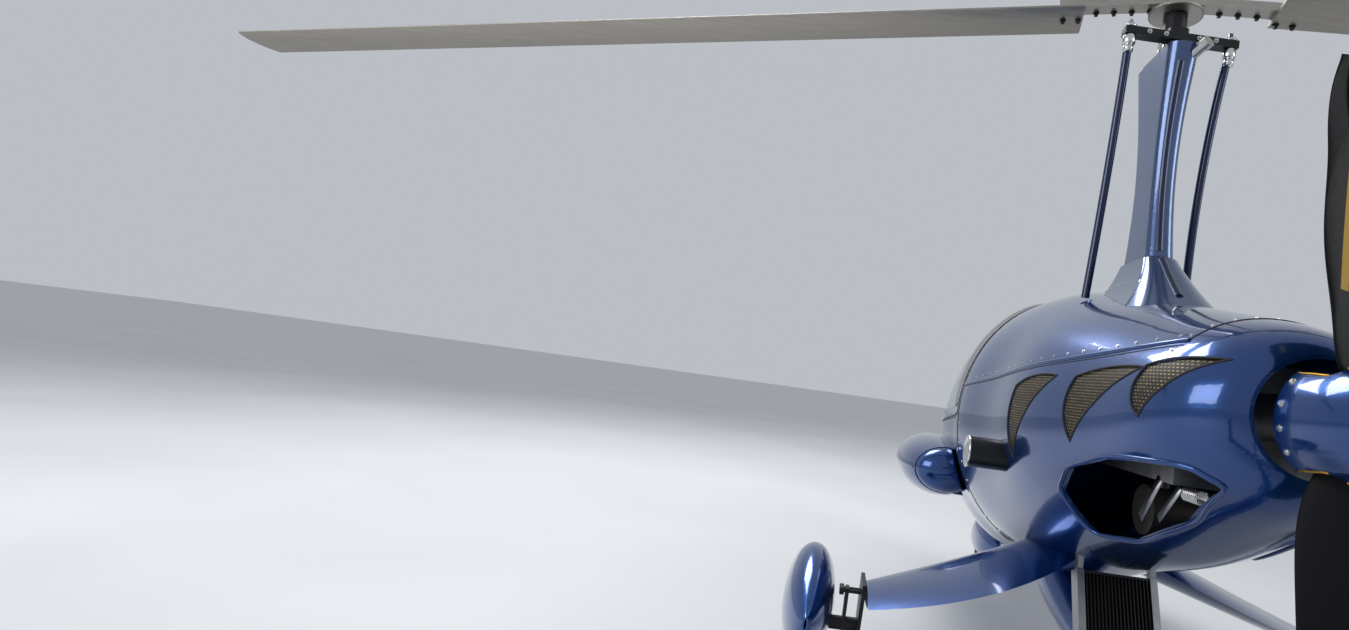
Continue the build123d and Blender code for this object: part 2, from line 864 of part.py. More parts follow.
# Centre fin and rudder
rudder_hinge_y = 2400
centre_fin_thickness = 30
rudder_bottom_z = 380
rudder_half_thickness = 14
rudder_pin_radius = 5
rudder_pin_grip = 32
rudder_end_gap = 3
top_lug_thickness = 12
fin_foot_z = 322
with BuildPart() as centre_fin:
    with BuildSketch(Plane.YZ.offset(-centre_fin_thickness / 2)):
        with BuildLine():
            Polyline(
                (1990, 300),
                (2230, centre_fin_top_z),
                (rudder_hinge_y - 26, centre_fin_top_z),
                (rudder_hinge_y - 26, rudder_bottom_z - 12),
                (rudder_hinge_y + 14, rudder_bottom_z - 12),
                (rudder_hinge_y + 14, fin_foot_z),
                (stabiliser_front_y - 10, fin_foot_z),
                close=True,
            )
        make_face()
    extrude(amount=centre_fin_thickness)
    with BuildSketch(Plane.XY.offset(centre_fin_top_z)):
        with Locations((0, rudder_hinge_y - 12)):
            Rectangle(2 * rudder_half_thickness, 50)
    extrude(amount=-top_lug_thickness)
    with BuildSketch(Plane.XY.offset(centre_fin_top_z - top_lug_thickness)):
        with Locations((0, rudder_hinge_y)):
            Circle(rudder_pin_radius)
    extrude(amount=-(rudder_end_gap + rudder_pin_grip - 2))
    with BuildSketch(Plane.XY.offset(rudder_bottom_z + rudder_pin_grip - 2)):
        with Locations((0, rudder_hinge_y)):
            Circle(rudder_pin_radius)
    extrude(amount=-(rudder_bottom_z + rudder_pin_grip - 2 - fin_foot_z))
    add(boom_clear, mode=Mode.SUBTRACT)
write("centre_fin", centre_fin.part)

with BuildPart() as rudder:
    with BuildSketch(Plane.XY.offset(rudder_bottom_z)):
        with BuildLine():
            Polyline(
                (-rudder_half_thickness, rudder_hinge_y),
                (rudder_half_thickness, rudder_hinge_y),
                (2, tail_y - 10),
                (-2, tail_y - 10),
                close=True,
            )
        make_face()
        with Locations((0, rudder_hinge_y)):
            Circle(rudder_half_thickness)
    extrude(amount=centre_fin_top_z - top_lug_thickness - rudder_end_gap - rudder_bottom_z)
    with BuildSketch(Plane.XY.offset(rudder_bottom_z)):
        with Locations((0, rudder_hinge_y)):
            Circle(rudder_pin_radius + pin_clearance)
    extrude(amount=rudder_pin_grip, mode=Mode.SUBTRACT)
    with BuildSketch(Plane.XY.offset(centre_fin_top_z - top_lug_thickness - rudder_end_gap)):
        with Locations((0, rudder_hinge_y)):
            Circle(rudder_pin_radius + pin_clearance)
    extrude(amount=-rudder_pin_grip, mode=Mode.SUBTRACT)
write("rudder", rudder.part)

# Main gear: wing-like legs, axle brackets, spats and wheels
leg_tip_x = 850

# Leg sections: x, front, rear, z, thickness
LEG = [
    (120, -390, -120, 575, 120),
    (280, -370, 20, 522, 96),
    (leg_tip_x, -250, 45, 345, 54),
]


def gear_leg(side):
    """Broad wing-like leg from the belly to the axle bracket."""
    with BuildPart() as leg:
        for x, front, rear, z, thickness in LEG:
            with BuildSketch(Plane.YZ.offset(side * x)):
                with BuildLine():
                    lens(front, rear, thickness, z)
                make_face()
        loft()
        add(body_clear, mode=Mode.SUBTRACT)
        add(boom_clear, mode=Mode.SUBTRACT)
    return leg.part


write("gear_leg_left", gear_leg(1))
write("gear_leg_right", gear_leg(-1))

bracket_inner_x = leg_tip_x + seat_gap
bracket_thickness = 14
caliper_x = 905
caliper_width = 34
caliper_bar = 12


def axle_unit(side):
    """Plate on the leg's tip with the sleeve and the pin that carries the wheel."""
    with BuildPart() as unit:
        with BuildSketch(Plane.YZ.offset(side * bracket_inner_x)):
            with BuildLine():
                Polyline(
                    (axle_y - 45, axle_z - 45),
                    (axle_y - 60, axle_z + 170),
                    (axle_y + 110, axle_z + 170),
                    (axle_y + 50, axle_z - 45),
                    close=True,
                )
            make_face()
        extrude(amount=side * bracket_thickness)
        with BuildSketch(Plane.YZ.offset(side * bracket_inner_x)):
            with Locations((axle_y, axle_z)):
                Circle(sleeve_radius)
        extrude(amount=side * (half_track - tyre_half_width - 8 - bracket_inner_x))
        with BuildSketch(Plane.YZ.offset(side * bracket_inner_x)):
            with Locations((axle_y, axle_z)):
                Circle(axle_radius)
        extrude(amount=side * (half_track + 60 - bracket_inner_x))
        with BuildSketch(Plane.YZ.offset(side * caliper_x)):
            with Locations((axle_y, axle_z + 55)):
                RectangleRounded(56, 150, 10)
            with Locations((axle_y, axle_z + 92)):
                Circle(14, mode=Mode.SUBTRACT)
        extrude(amount=side * caliper_bar)
        with BuildSketch(Plane.YZ.offset(side * bracket_inner_x)):
            with Locations((axle_y - 14, axle_z + 118), (axle_y + 14, axle_z + 118)):
                Circle(7)
        extrude(amount=side * (caliper_x + caliper_width - bracket_inner_x))
        with BuildSketch(Plane.YZ.offset(side * (caliper_x + caliper_bar + 6))):
            with Locations((axle_y, axle_z + 118)):
                RectangleRounded(62, 26, 8)
        extrude(amount=side * (caliper_width - caliper_bar - 6))
    return unit.part


write("axle_left", axle_unit(1))
write("axle_right", axle_unit(-1))

# Spat sections, measured from the axle: dy, half_width, z_bottom, z_top
SPAT = [
    (-350, 16, 225, 268),
    (-320, 44, 178, 322),
    (-235, 78, 130, 395),
    (-80, 92, 110, 452),
    (90, 90, 115, 440),
    (220, 68, 150, 390),
    (310, 36, 215, 340),
    (352, 10, 275, 318),
]
spat_wall = 6
spat_hem_z = 170


def spat(side):
    """Hollow teardrop over the wheel, open below."""
    sections = [(axle_y + dy, *rest) for dy, *rest in SPAT]
    x = side * half_track
    with BuildPart() as shell:
        add(oval_form(sections, 0, x))
        add(oval_form(sections, spat_wall, x), mode=Mode.SUBTRACT)
        with BuildSketch(Plane.XY.offset(spat_hem_z)):
            with Locations((x, axle_y)):
                Rectangle(400, 1200)
        extrude(amount=-400, mode=Mode.SUBTRACT)
        with BuildSketch(Plane.YZ.offset(x)):
            with Locations((axle_y, axle_z)):
                Circle(sleeve_radius + seat_gap)
                with Locations((0, -40)):
                    Rectangle(2 * (sleeve_radius + seat_gap), 80)
        extrude(amount=-side * 200, mode=Mode.SUBTRACT)
    return shell.part


write("spat_left", spat(1))
write("spat_right", spat(-1))


def tyre(x, y, z, radius, rim, half_width):
    """Low round-shouldered tyre about its axle."""
    with BuildPart() as ring:
        with BuildSketch(station(y)):
            with BuildLine():
                wall_out = ThreePointArc(
                    (x + half_width * 0.72, z + rim + seat_gap),
                    (x + half_width, z + (rim + radius) / 2),
                    (x + half_width * 0.76, z + radius * 0.955),
                )
                crown = ThreePointArc(wall_out @ 1, (x, z + radius), (x - half_width * 0.76, z + radius * 0.955))
                wall_in = ThreePointArc(
                    crown @ 1,
                    (x - half_width, z + (rim + radius) / 2),
                    (x - half_width * 0.72, z + rim + seat_gap),
                )
                Line(wall_in @ 1, wall_out @ 0)
            make_face()
        revolve(axis=Axis((x, y, z), (1, 0, 0)))
    return ring.part


def rim(x, y, z, radius, half_width, bore):
    """Wheel with a dished web, a hub and holes between its spokes."""
    barrel = 14
    web = 7
    hub = bore + 18
    hub_half = half_width - 6
    with BuildPart() as wheel:
        with BuildSketch(station(y)):
            with BuildLine():
                Polyline(
                    (x - hub_half, z + bore),
                    (x + hub_half, z + bore),
                    (x + hub_half, z + hub),
                    (x + web, z + hub + 6),
                    (x + web, z + radius - barrel - 6),
                    (x + half_width * 0.8, z + radius - barrel),
                    (x + half_width * 0.8, z + radius),
                    (x - half_width * 0.8, z + radius),
                    (x - half_width * 0.8, z + radius - barrel),
                    (x - web, z + radius - barrel - 6),
                    (x - web, z + hub + 6),
                    (x - hub_half, z + hub),
                    close=True,
                )
            make_face()
        revolve(axis=Axis((x, y, z), (1, 0, 0)))
        hole_ring = (hub + radius - barrel) / 2
        with BuildSketch(Plane(origin=(x, y, z), x_dir=(0, 1, 0), z_dir=(1, 0, 0))):
            with PolarLocations(hole_ring, 6):
                Circle((radius - barrel - hub) / 2 - 10)
        extrude(amount=web + 5, both=True, mode=Mode.SUBTRACT)
    return wheel.part


for side_name, side in (("left", 1), ("right", -1)):
    x = side * half_track
    write(f"tyre_{side_name}", tyre(x, axle_y, axle_z, wheel_radius, rim_radius, tyre_half_width))
    write(f"rim_{side_name}", rim(x, axle_y, axle_z, rim_radius, tyre_half_width, axle_radius + pin_clearance))

# Nose gear: housing in the fuselage, steered fork with its spat, wheel
fork_bridge_z = 366
fork_gap = 10
housing_bottom_z = 400
housing_top_z = 560
with BuildPart() as strut_housing:
    with BuildSketch(Plane.XY.offset(housing_bottom_z)):
        with Locations((0, strut_y)):
            Circle(strut_housing_radius)
            Circle(column_radius + pin_clearance, mode=Mode.SUBTRACT)
    extrude(amount=housing_top_z - housing_bottom_z)
write("strut_housing", strut_housing.part)

fork_half = nose_tyre_half_width + fork_gap
fork_wall = 10
with BuildPart() as nose_fork:
    with BuildSketch(Plane.XY.offset(fork_bridge_z)):
        with Locations((0, strut_y)):
            Circle(column_radius)
    extrude(amount=housing_top_z - fork_bridge_z)
    with BuildSketch(Plane.XY.offset(fork_bridge_z)):
        with Locations((0, strut_y + 10)):
            RectangleRounded(2 * (fork_half + fork_wall), 90, 10)
    extrude(amount=18)
    for side in (1, -1):
        with BuildSketch(Plane.YZ.offset(side * fork_half)):
            with BuildLine():
                Polyline(
                    (strut_y - 30, fork_bridge_z + 18),
                    (strut_y + 50, fork_bridge_z + 18),
                    (nose_wheel_y + 26, nose_wheel_radius),
                    (nose_wheel_y, nose_wheel_radius - 26),
                    (nose_wheel_y - 26, nose_wheel_radius),
                    close=True,
                )
            make_face()
        extrude(amount=side * fork_wall)
    with BuildSketch(Plane.YZ.offset(-fork_half)):
        with Locations((nose_wheel_y, nose_wheel_radius)):
            Circle(axle_radius)
    extrude(amount=2 * fork_half)
write("nose_fork", nose_fork.part)

NOSE_SPAT = [
    (-285, 12, 190, 222),
    (-262, 38, 150, 268),
    (-180, 66, 110, 330),
    (-40, 78, 95, 363),
    (100, 72, 100, 350),
    (220, 46, 130, 305),
    (310, 10, 215, 250),
]
nose_sections = [(nose_wheel_y + dy, *rest) for dy, *rest in NOSE_SPAT]
with BuildPart() as nose_spat:
    add(oval_form(nose_sections))
    add(oval_form(nose_sections, spat_wall), mode=Mode.SUBTRACT)
    with BuildSketch(Plane.XY.offset(150)):
        with Locations((0, nose_wheel_y)):
            Rectangle(400, 1200)
    extrude(amount=-400, mode=Mode.SUBTRACT)
    add(nose_fork.part, mode=Mode.SUBTRACT)
write("nose_spat", nose_spat.part)

write("nose_tyre", tyre(0, nose_wheel_y, nose_wheel_radius, nose_wheel_radius, nose_rim_radius, nose_tyre_half_width))
write(
    "nose_rim",
    rim(0, nose_wheel_y, nose_wheel_radius, nose_rim_radius, nose_tyre_half_width, axle_radius + pin_clearance),
)
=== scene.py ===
# %% [markdown]
# # A two-seat gyrocopter, dressed for its picture
# The solid model of the machine is loaded as a fixed frame.
# Each cell then gives one part of the real aircraft its finish or its small fittings.
# Everything is in metres, with the nose towards -Y, the port side at +X and the ground at Z = 0.
# Where a side is named by a sign, 1 is port and -1 is starboard.

# %% Frame
import bpy
import bmesh
from math import radians, sin, cos, pi, sqrt, atan2, exp
from mathutils import Matrix, Vector
from mathutils.bvhtree import BVHTree


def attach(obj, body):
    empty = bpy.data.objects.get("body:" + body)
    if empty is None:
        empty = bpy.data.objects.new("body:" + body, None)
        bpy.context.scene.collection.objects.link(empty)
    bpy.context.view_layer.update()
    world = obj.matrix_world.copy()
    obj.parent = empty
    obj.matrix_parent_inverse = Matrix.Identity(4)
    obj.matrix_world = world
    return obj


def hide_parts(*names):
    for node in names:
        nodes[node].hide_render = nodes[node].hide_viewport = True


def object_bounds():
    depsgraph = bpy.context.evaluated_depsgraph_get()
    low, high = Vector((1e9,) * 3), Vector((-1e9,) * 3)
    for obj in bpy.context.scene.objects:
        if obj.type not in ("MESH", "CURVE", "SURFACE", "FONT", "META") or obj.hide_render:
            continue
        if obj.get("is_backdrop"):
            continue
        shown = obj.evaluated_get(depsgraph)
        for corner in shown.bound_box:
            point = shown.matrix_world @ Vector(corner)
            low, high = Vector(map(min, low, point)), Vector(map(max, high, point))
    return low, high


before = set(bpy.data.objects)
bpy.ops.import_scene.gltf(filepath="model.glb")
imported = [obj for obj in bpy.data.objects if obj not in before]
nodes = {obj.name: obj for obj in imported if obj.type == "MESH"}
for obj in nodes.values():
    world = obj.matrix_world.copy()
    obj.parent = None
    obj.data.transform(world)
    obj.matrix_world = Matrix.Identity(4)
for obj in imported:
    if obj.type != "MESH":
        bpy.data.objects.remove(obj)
cad_box = [list(corner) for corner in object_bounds()]
SIDES = (1, -1)
print("solid parts:", len(nodes))

# %% [markdown]
# ## Camera
# The photograph was taken by a wide action camera fixed at the tip of the port tailplane.
# It looks forward along the machine, tips up a little and leans to one side.
# A plain perspective camera can't bend lines as that lens does, so its place and aim are the best
# compromise over the wheels, the mast, the gills and the propeller.

# %% Camera
SENSOR_WIDTH = 36.0
PHOTO_WIDTH, PHOTO_MIDDLE = 1349, (674.5, 315.0)
FOCAL_PIXELS, LENS_CENTRE = 692.6, (853.8, 321.1)
heading, tip, lean = radians(0.63), radians(5.09), radians(7.91)
level_ahead = Vector((-sin(heading), -cos(heading), 0))
level_right = Vector((-cos(heading), sin(heading), 0))
ahead = level_ahead * cos(tip) + Vector((0, 0, 1)) * sin(tip)
above = Vector((0, 0, 1)) * cos(tip) - level_ahead * sin(tip)
to_right = level_right * cos(lean) + above * sin(lean)
above = above * cos(lean) - level_right * sin(lean)
eye = Vector((1.05, 2.35, 1.06))
camera_data = bpy.data.cameras.new("tail_camera")
camera_data.sensor_width = SENSOR_WIDTH
camera_data.lens = SENSOR_WIDTH * FOCAL_PIXELS / PHOTO_WIDTH
camera_data.shift_x = (PHOTO_MIDDLE[0] - LENS_CENTRE[0]) / PHOTO_WIDTH
camera_data.shift_y = (LENS_CENTRE[1] - PHOTO_MIDDLE[1]) / PHOTO_WIDTH
camera_data.clip_start = 0.02
camera_data.clip_end = 200
camera = bpy.data.objects.new("tail_camera", camera_data)
turn = Matrix((to_right, above, -ahead)).transposed()
camera.matrix_world = Matrix.Translation(eye) @ turn.to_4x4()
bpy.context.scene.collection.objects.link(camera)
bpy.context.scene.camera = camera
print("camera looks along", [round(v, 3) for v in ahead])

# %% [markdown]
# ## Studio
# A pale floor and an even, pale surround take the place of the sky.
# Three broad lamps stand in for the high sun and its soft fill, so that the clear coat has
# long, calm highlights to show.

# %% Studio
scene = bpy.context.scene
scene.view_settings.view_transform = "Standard"
world = bpy.data.worlds.new("pale_surround")
scene.world = world
world.use_nodes = True
surround = world.node_tree.nodes["Background"]
surround.inputs["Color"].default_value = (0.80, 0.84, 0.90, 1)
surround.inputs["Strength"].default_value = 0.62


def lamp(name, size, power, stand, aim):
    """Broad soft lamp that stands at one point and faces another."""
    data = bpy.data.lights.new(name, "AREA")
    data.shape = "RECTANGLE"
    data.size, data.size_y = size
    data.energy = power
    made = bpy.data.objects.new(name, data)
    made.location = stand
    made.rotation_euler = (Vector(aim) - Vector(stand)).to_track_quat("-Z", "Y").to_euler()
    scene.collection.objects.link(made)


lamp("high_sun", (4, 4), 520, (3.5, -4.5, 7.5), (0, 0, 1))
lamp("port_fill", (5, 3), 210, (7, 3.5, 3.5), (0, 0, 1))
lamp("starboard_rim", (4, 3), 160, (-6.5, 3.0, 4.0), (0, 0, 1.2))

# %% Floor
REACH = 60
floor_corners = [(-REACH, -REACH, 0), (REACH, -REACH, 0), (REACH, REACH, 0), (-REACH, REACH, 0)]
floor_mesh = bpy.data.meshes.new("studio_floor")
floor_mesh.from_pydata(floor_corners, [], [(0, 1, 2, 3)])
floor = bpy.data.objects.new("studio_floor", floor_mesh)
scene.collection.objects.link(floor)
floor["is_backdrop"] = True

# %% [markdown]
# ## Finishes
# Each finish is a small tree of shader nodes. The helpers keep the trees short: they start a
# material, add nodes and join them up, and let a pattern drive the colour, the gloss or the relief.

# %% Material helpers
def finish(name, colour, metallic=0.0, roughness=0.5, coat=0.0, coat_roughness=0.03):
    """New material with one Principled shader. Returns the material, its tree and the shader."""
    made = bpy.data.materials.new(name)
    made.use_nodes = True
    made.diffuse_color = (*colour, 1)
    tree = made.node_tree
    shader = tree.nodes["Principled BSDF"]
    shader.inputs["Base Color"].default_value = (*colour, 1)
    shader.inputs["Metallic"].default_value = metallic
    shader.inputs["Roughness"].default_value = roughness
    shader.inputs["Coat Weight"].default_value = coat
    shader.inputs["Coat Roughness"].default_value = coat_roughness
    return made, tree, shader


def node(tree, kind, links=None, **values):
    """Adds a node, sets its properties and joins the given inputs."""
    made = tree.nodes.new(kind)
    for key, value in values.items():
        setattr(made, key, value)
    for socket, source in (links or {}).items():
        if isinstance(source, (int, float, tuple, str)):
            made.inputs[socket].default_value = source
        else:
            tree.links.new(source, made.inputs[socket])
    return made


def place(tree):
    """Object coordinates, which stay with the piece when it moves."""
    return node(tree, "ShaderNodeTexCoord").outputs["Object"]


def noise(tree, scale, detail=4.0, vector=None):
    """Soft cloudy pattern."""
    return node(
        tree, "ShaderNodeTexNoise",
        {"Vector": vector or place(tree), "Scale": scale, "Detail": detail},
    )


def maths(tree, operation, *values):
    """Result of one sum over numbers or sockets."""
    made = node(tree, "ShaderNodeMath", dict(enumerate(values)), operation=operation)
    return made.outputs["Value"]


def ramp(tree, factor, stops):
    """Colours by factor, as (position, colour) stops."""
    made = node(tree, "ShaderNodeValToRGB", {"Fac": factor})
    while len(made.color_ramp.elements) < len(stops):
        made.color_ramp.elements.new(0.5)
    for element, (position, colour) in zip(made.color_ramp.elements, stops):
        element.position = position
        element.color = (*colour, 1)
    return made.outputs["Color"]


def coloured(tree, shader, factor, stops):
    """Base colour that follows a pattern."""
    tree.links.new(ramp(tree, factor, stops), shader.inputs["Base Color"])


def glossed(tree, shader, factor, low, high):
    """Roughness that follows a pattern, between two values."""
    spread = node(tree, "ShaderNodeMapRange", {"Value": factor, "To Min": low, "To Max": high})
    tree.links.new(spread.outputs["Result"], shader.inputs["Roughness"])


def bump(tree, shader, height, strength, distance, socket="Normal"):
    """Fine relief on the shader's normal, or on its coat's."""
    made = node(
        tree, "ShaderNodeBump",
        {"Height": height, "Strength": strength, "Distance": distance},
    )
    tree.links.new(made.outputs["Normal"], shader.inputs[socket])


# %% [markdown]
# ## Metallic blue paint
# The real coat is a deep blue base full of tiny flakes under a hard clear lacquer.
# A Voronoi pattern with cells of about a third of a millimetre gives each flake its shade,
# a broad noise stands for the uneven depth of the spray, and the coat gives the sharp reflections.

# %% Paint
def metallic_paint(name, deep, bright, roughness, coat):
    """Flake paint between two shades of one colour, under clear lacquer."""
    made, tree, shader = finish(
        name, deep, metallic=0.72, roughness=roughness, coat=coat, coat_roughness=0.02,
    )
    flakes = node(tree, "ShaderNodeTexVoronoi", {"Vector": place(tree), "Scale": 2600.0})
    spray = noise(tree, 1.7, 3.0)
    both = maths(tree, "MULTIPLY", flakes.outputs["Color"], spray.outputs["Fac"])
    coloured(tree, shader, both, [(0.0, deep), (0.75, bright)])
    orange_peel = noise(tree, 260.0, 2.0)
    bump(tree, shader, orange_peel.outputs["Fac"], 0.03, 0.001, "Coat Normal")
    return made


blue_paint = metallic_paint("blue_paint", (0.002, 0.020, 0.11), (0.008, 0.098, 0.37), 0.22, 1.0)
mast_paint = metallic_paint("mast_paint", (0.025, 0.05, 0.14), (0.10, 0.17, 0.34), 0.22, 1.0)
rod_paint = metallic_paint("rod_paint", (0.003, 0.008, 0.035), (0.008, 0.022, 0.09), 0.30, 0.7)

# %% [markdown]
# ## Metals, plastics and rubber
# Bare metals get streaks along the way they were drawn or brushed. Black fittings get a
# faint cloud of wear in their roughness, and the tyres a dusty, slightly uneven black.

# %% Plain finishes
def worn(name, colour, metallic, rough_low, rough_high, scale=14.0, relief=0.04, coat=0.0):
    """A finish whose roughness and shade wander a little, with fine relief."""
    made, tree, shader = finish(name, colour, metallic=metallic, roughness=rough_high, coat=coat)
    cloud = noise(tree, scale, 5.0)
    glossed(tree, shader, cloud.outputs["Fac"], rough_low, rough_high)
    darker = tuple(c * 0.78 for c in colour)
    coloured(tree, shader, cloud.outputs["Fac"], [(0.35, darker), (0.65, colour)])
    grain = noise(tree, scale * 40, 2.0)
    bump(tree, shader, grain.outputs["Fac"], relief, 0.0006)
    return made


def brushed(name, colour, along, rough_low=0.25, rough_high=0.45):
    """Metal with fine streaks: along holds the pattern's scale on X, Y and Z."""
    made, tree, shader = finish(name, colour, metallic=1.0, roughness=rough_high)
    stretched = node(tree, "ShaderNodeMapping", {"Vector": place(tree), "Scale": along})
    streaks = noise(tree, 1.0, 6.0, stretched.outputs["Vector"])
    glossed(tree, shader, streaks.outputs["Fac"], rough_low, rough_high)
    darker = tuple(c * 0.82 for c in colour)
    coloured(tree, shader, streaks.outputs["Fac"], [(0.3, darker), (0.7, colour)])
    bump(tree, shader, streaks.outputs["Fac"], 0.06, 0.0004)
    return made


black_metal = worn("black_metal", (0.018, 0.018, 0.020), 0.5, 0.28, 0.5)
black_rubber = worn("black_rubber", (0.012, 0.012, 0.012), 0.0, 0.55, 0.8, 30.0, 0.2)
tyre_rubber = worn("tyre_rubber", (0.022, 0.021, 0.020), 0.0, 0.65, 0.9, 22.0, 0.35)
gearbox_alloy = worn("gearbox_alloy", (0.30, 0.30, 0.31), 0.9, 0.35, 0.6, 20.0, 0.25)
muffler_steel = worn("muffler_steel", (0.14, 0.13, 0.12), 0.9, 0.3, 0.55, 9.0, 0.15)
stub_alloy = brushed("stub_alloy", (0.50, 0.50, 0.49), (30, 30, 90), 0.25, 0.42)
panel_black = worn("panel_black", (0.020, 0.020, 0.022), 0.0, 0.5, 0.7, 40.0, 0.3)
floor_paint = worn("floor_paint", (0.10, 0.10, 0.11), 0.0, 0.5, 0.75, 16.0, 0.3)
blade_alloy = brushed("blade_alloy", (0.38, 0.355, 0.315), (2, 60, 60), 0.38, 0.55)
hub_alloy = brushed("hub_alloy", (0.44, 0.42, 0.38), (3, 90, 90), 0.3, 0.5)
rim_alloy = brushed("rim_alloy", (0.55, 0.56, 0.58), (60, 30, 30))
tank_alloy = brushed("tank_alloy", (0.34, 0.35, 0.37), (60, 60, 4))
bright_steel = brushed("bright_steel", (0.72, 0.72, 0.70), (80, 80, 80), 0.15, 0.3)
gold_tape = brushed("gold_tape", (0.62, 0.34, 0.05), (40, 40, 40), 0.3, 0.45)

# %% [markdown]
# ## Woven mesh in the gills
# The gills are closed with a coarse tan weave in front of the engine bay, which lies in shade.
# A brick pattern laid on the side view gives rows of short tan strands, each row shifted half a
# strand. The same pattern drives the relief between the strands and the near-black gaps, which
# are painted shade: the shaded bay as seen through the weave.

# %% Weave
def side_view(tree):
    """Coordinates on the machine's side: Y across the pattern and Z up it."""
    split = node(tree, "ShaderNodeSeparateXYZ", {"Vector": place(tree)})
    return node(
        tree, "ShaderNodeCombineXYZ",
        {"X": split.outputs["Y"], "Y": split.outputs["Z"]},
    ).outputs["Vector"]


woven_mesh, tree, shader = finish("woven_mesh", (0.40, 0.30, 0.17), metallic=0.3, roughness=0.5)
strands = node(
    tree, "ShaderNodeTexBrick",
    {
        "Vector": side_view(tree),
        "Color1": (0.34, 0.25, 0.10, 1), "Color2": (0.13, 0.09, 0.04, 1),
        # The near-black mortar is painted shade, standing for the shaded engine bay behind the
        # gaps.
        "Mortar": (0.003, 0.003, 0.003, 1), "Scale": 1.0, "Mortar Size": 0.0033,
        "Mortar Smooth": 0.25, "Brick Width": 0.0125, "Row Height": 0.0088,
    },
)
tree.links.new(strands.outputs["Color"], shader.inputs["Base Color"])
bump(tree, shader, strands.outputs["Fac"], -0.8, 0.002)

# %% [markdown]
# ## Propeller blades
# The blades are satin black composite with one plain gold stripe along each. Object coordinates
# are turned back about the hub by the angle that the propeller rests at, and the side is swapped
# below the hub, so that the stripe sits alike on both blades.

# %% Blade finish
PROP_TURN = radians(4)
PROP_CENTRE = (0.0, 0.955, 1.115)
STRIPE_ACROSS, STRIPE_HALF_WIDTH = 0.084, 0.011
STRIPE_ALONG, STRIPE_HALF_LENGTH = 0.390, 0.130
BLADE_BLACK, STRIPE_GOLD = (0.006, 0.006, 0.007), (0.42, 0.25, 0.035)


def near(tree, value, middle, reach):
    """One where a value lies within reach of the middle, and nought elsewhere."""
    off = maths(tree, "ABSOLUTE", maths(tree, "SUBTRACT", value, middle))
    return maths(tree, "LESS_THAN", off, reach)


propeller_black, tree, shader = finish("propeller_black", BLADE_BLACK, roughness=0.55)
shader.inputs["Specular IOR Level"].default_value = 0.12
centred = node(
    tree, "ShaderNodeVectorRotate",
    {"Vector": place(tree), "Center": PROP_CENTRE, "Angle": PROP_TURN},
    rotation_type="Y_AXIS",
)
split = node(tree, "ShaderNodeSeparateXYZ", {"Vector": centred.outputs["Vector"]})
height = maths(tree, "SUBTRACT", split.outputs["Z"], PROP_CENTRE[2])
across = maths(tree, "MULTIPLY", split.outputs["X"], maths(tree, "SIGN", height))
along = maths(tree, "ABSOLUTE", height)
stripe = maths(
    tree, "MULTIPLY",
    near(tree, across, STRIPE_ACROSS, STRIPE_HALF_WIDTH),
    near(tree, along, STRIPE_ALONG, STRIPE_HALF_LENGTH),
)
coloured(tree, shader, stripe, [(0.45, BLADE_BLACK), (0.55, STRIPE_GOLD)])
cloth = noise(tree, 120.0, 4.0)
glossed(tree, shader, cloth.outputs["Fac"], 0.48, 0.62)
bump(tree, shader, cloth.outputs["Fac"], 0.05, 0.0005)

# %% [markdown]
# ## Canopy
# The bubble is clear acrylic a few millimetres thick, with a faint cool tint.

# %% Canopy glass
canopy_acrylic, tree, shader = finish("canopy_acrylic", (0.86, 0.92, 0.94), roughness=0.02)
shader.inputs["Transmission Weight"].default_value = 1.0
shader.inputs["IOR"].default_value = 1.35
haze = noise(tree, 6.0, 3.0)
glossed(tree, shader, haze.outputs["Fac"], 0.005, 0.04)

# %% [markdown]
# ## Floor of the studio
# A pale grey floor with a hint of mottling, which keeps the machine's shadow.

# %% Floor finish
floor_finish, tree, shader = finish("floor_finish", (0.62, 0.63, 0.64), roughness=0.6)
mottle = noise(tree, 0.6, 6.0)
mottled = [(0.3, (0.60, 0.61, 0.62)), (0.7, (0.65, 0.66, 0.67))]
coloured(tree, shader, mottle.outputs["Fac"], mottled)
floor.data.materials.append(floor_finish)

# %% Dress the solid parts
FINISH_OF = [
    (blue_paint, [
        "cabin_shell", "canopy_frame", "engine_cowl", "hump_cover", "side_pods", "spat_left",
        "spat_right", "nose_spat", "spinner", "gear_leg_left", "gear_leg_right", "end_fin_left",
        "end_fin_right", "centre_fin", "rudder", "stabiliser", "tail_boom",
    ]),
    (mast_paint, ["mast_fairing", "mast_collar"]),
    (rod_paint, ["control_rod_left", "control_rod_right"]),
    (canopy_acrylic, ["canopy_glass"]),
    (woven_mesh, ["gill_grilles"]),
    (black_metal, [
        "air_filters", "axle_left", "axle_right", "rotor_head", "strut_housing", "nose_fork",
        "radiator_core",
    ]),
    (blade_alloy, ["rotor_blade_left", "rotor_blade_right"]),
    (hub_alloy, ["rotor_hub", "prop_hub"]),
    (stub_alloy, ["mast_stub"]),
    (rim_alloy, ["rim_left", "rim_right", "nose_rim"]),
    (gearbox_alloy, ["engine_block"]),
    (muffler_steel, ["muffler"]),
    (propeller_black, ["prop_blades"]),
    (tank_alloy, ["radiator_tanks"]),
    (black_rubber, ["seat_front", "seat_rear"]),
    (panel_black, ["instrument_panel"]),
    (floor_paint, ["cabin_floor"]),
    (tyre_rubber, ["tyre_left", "tyre_right", "nose_tyre"]),
]
for material, names in FINISH_OF:
    for name in names:
        nodes[name].data.materials.clear()
        nodes[name].data.materials.append(material)
undressed = sorted(set(nodes) - {name for _, names in FINISH_OF for name in names})
print("without a finish:", undressed)

# %% [markdown]
# ## Finding the painted skin
# Trims, seams and screws have to lie on the skin, wherever it curves.
# A search tree over the solid parts answers where a straight ray first meets them, and which
# way the surface faces there. That needs no copy of the body's formula, and it follows any
# change in the solid model.

# %% Rays onto the skin
def search_tree(*names):
    """Search tree over the faces of the named solid parts."""
    points, faces = [], []
    for name in names:
        mesh = nodes[name].data
        first = len(points)
        points += [v.co.copy() for v in mesh.vertices]
        faces += [[first + i for i in p.vertices] for p in mesh.polygons]
    return BVHTree.FromPolygons(points, faces)


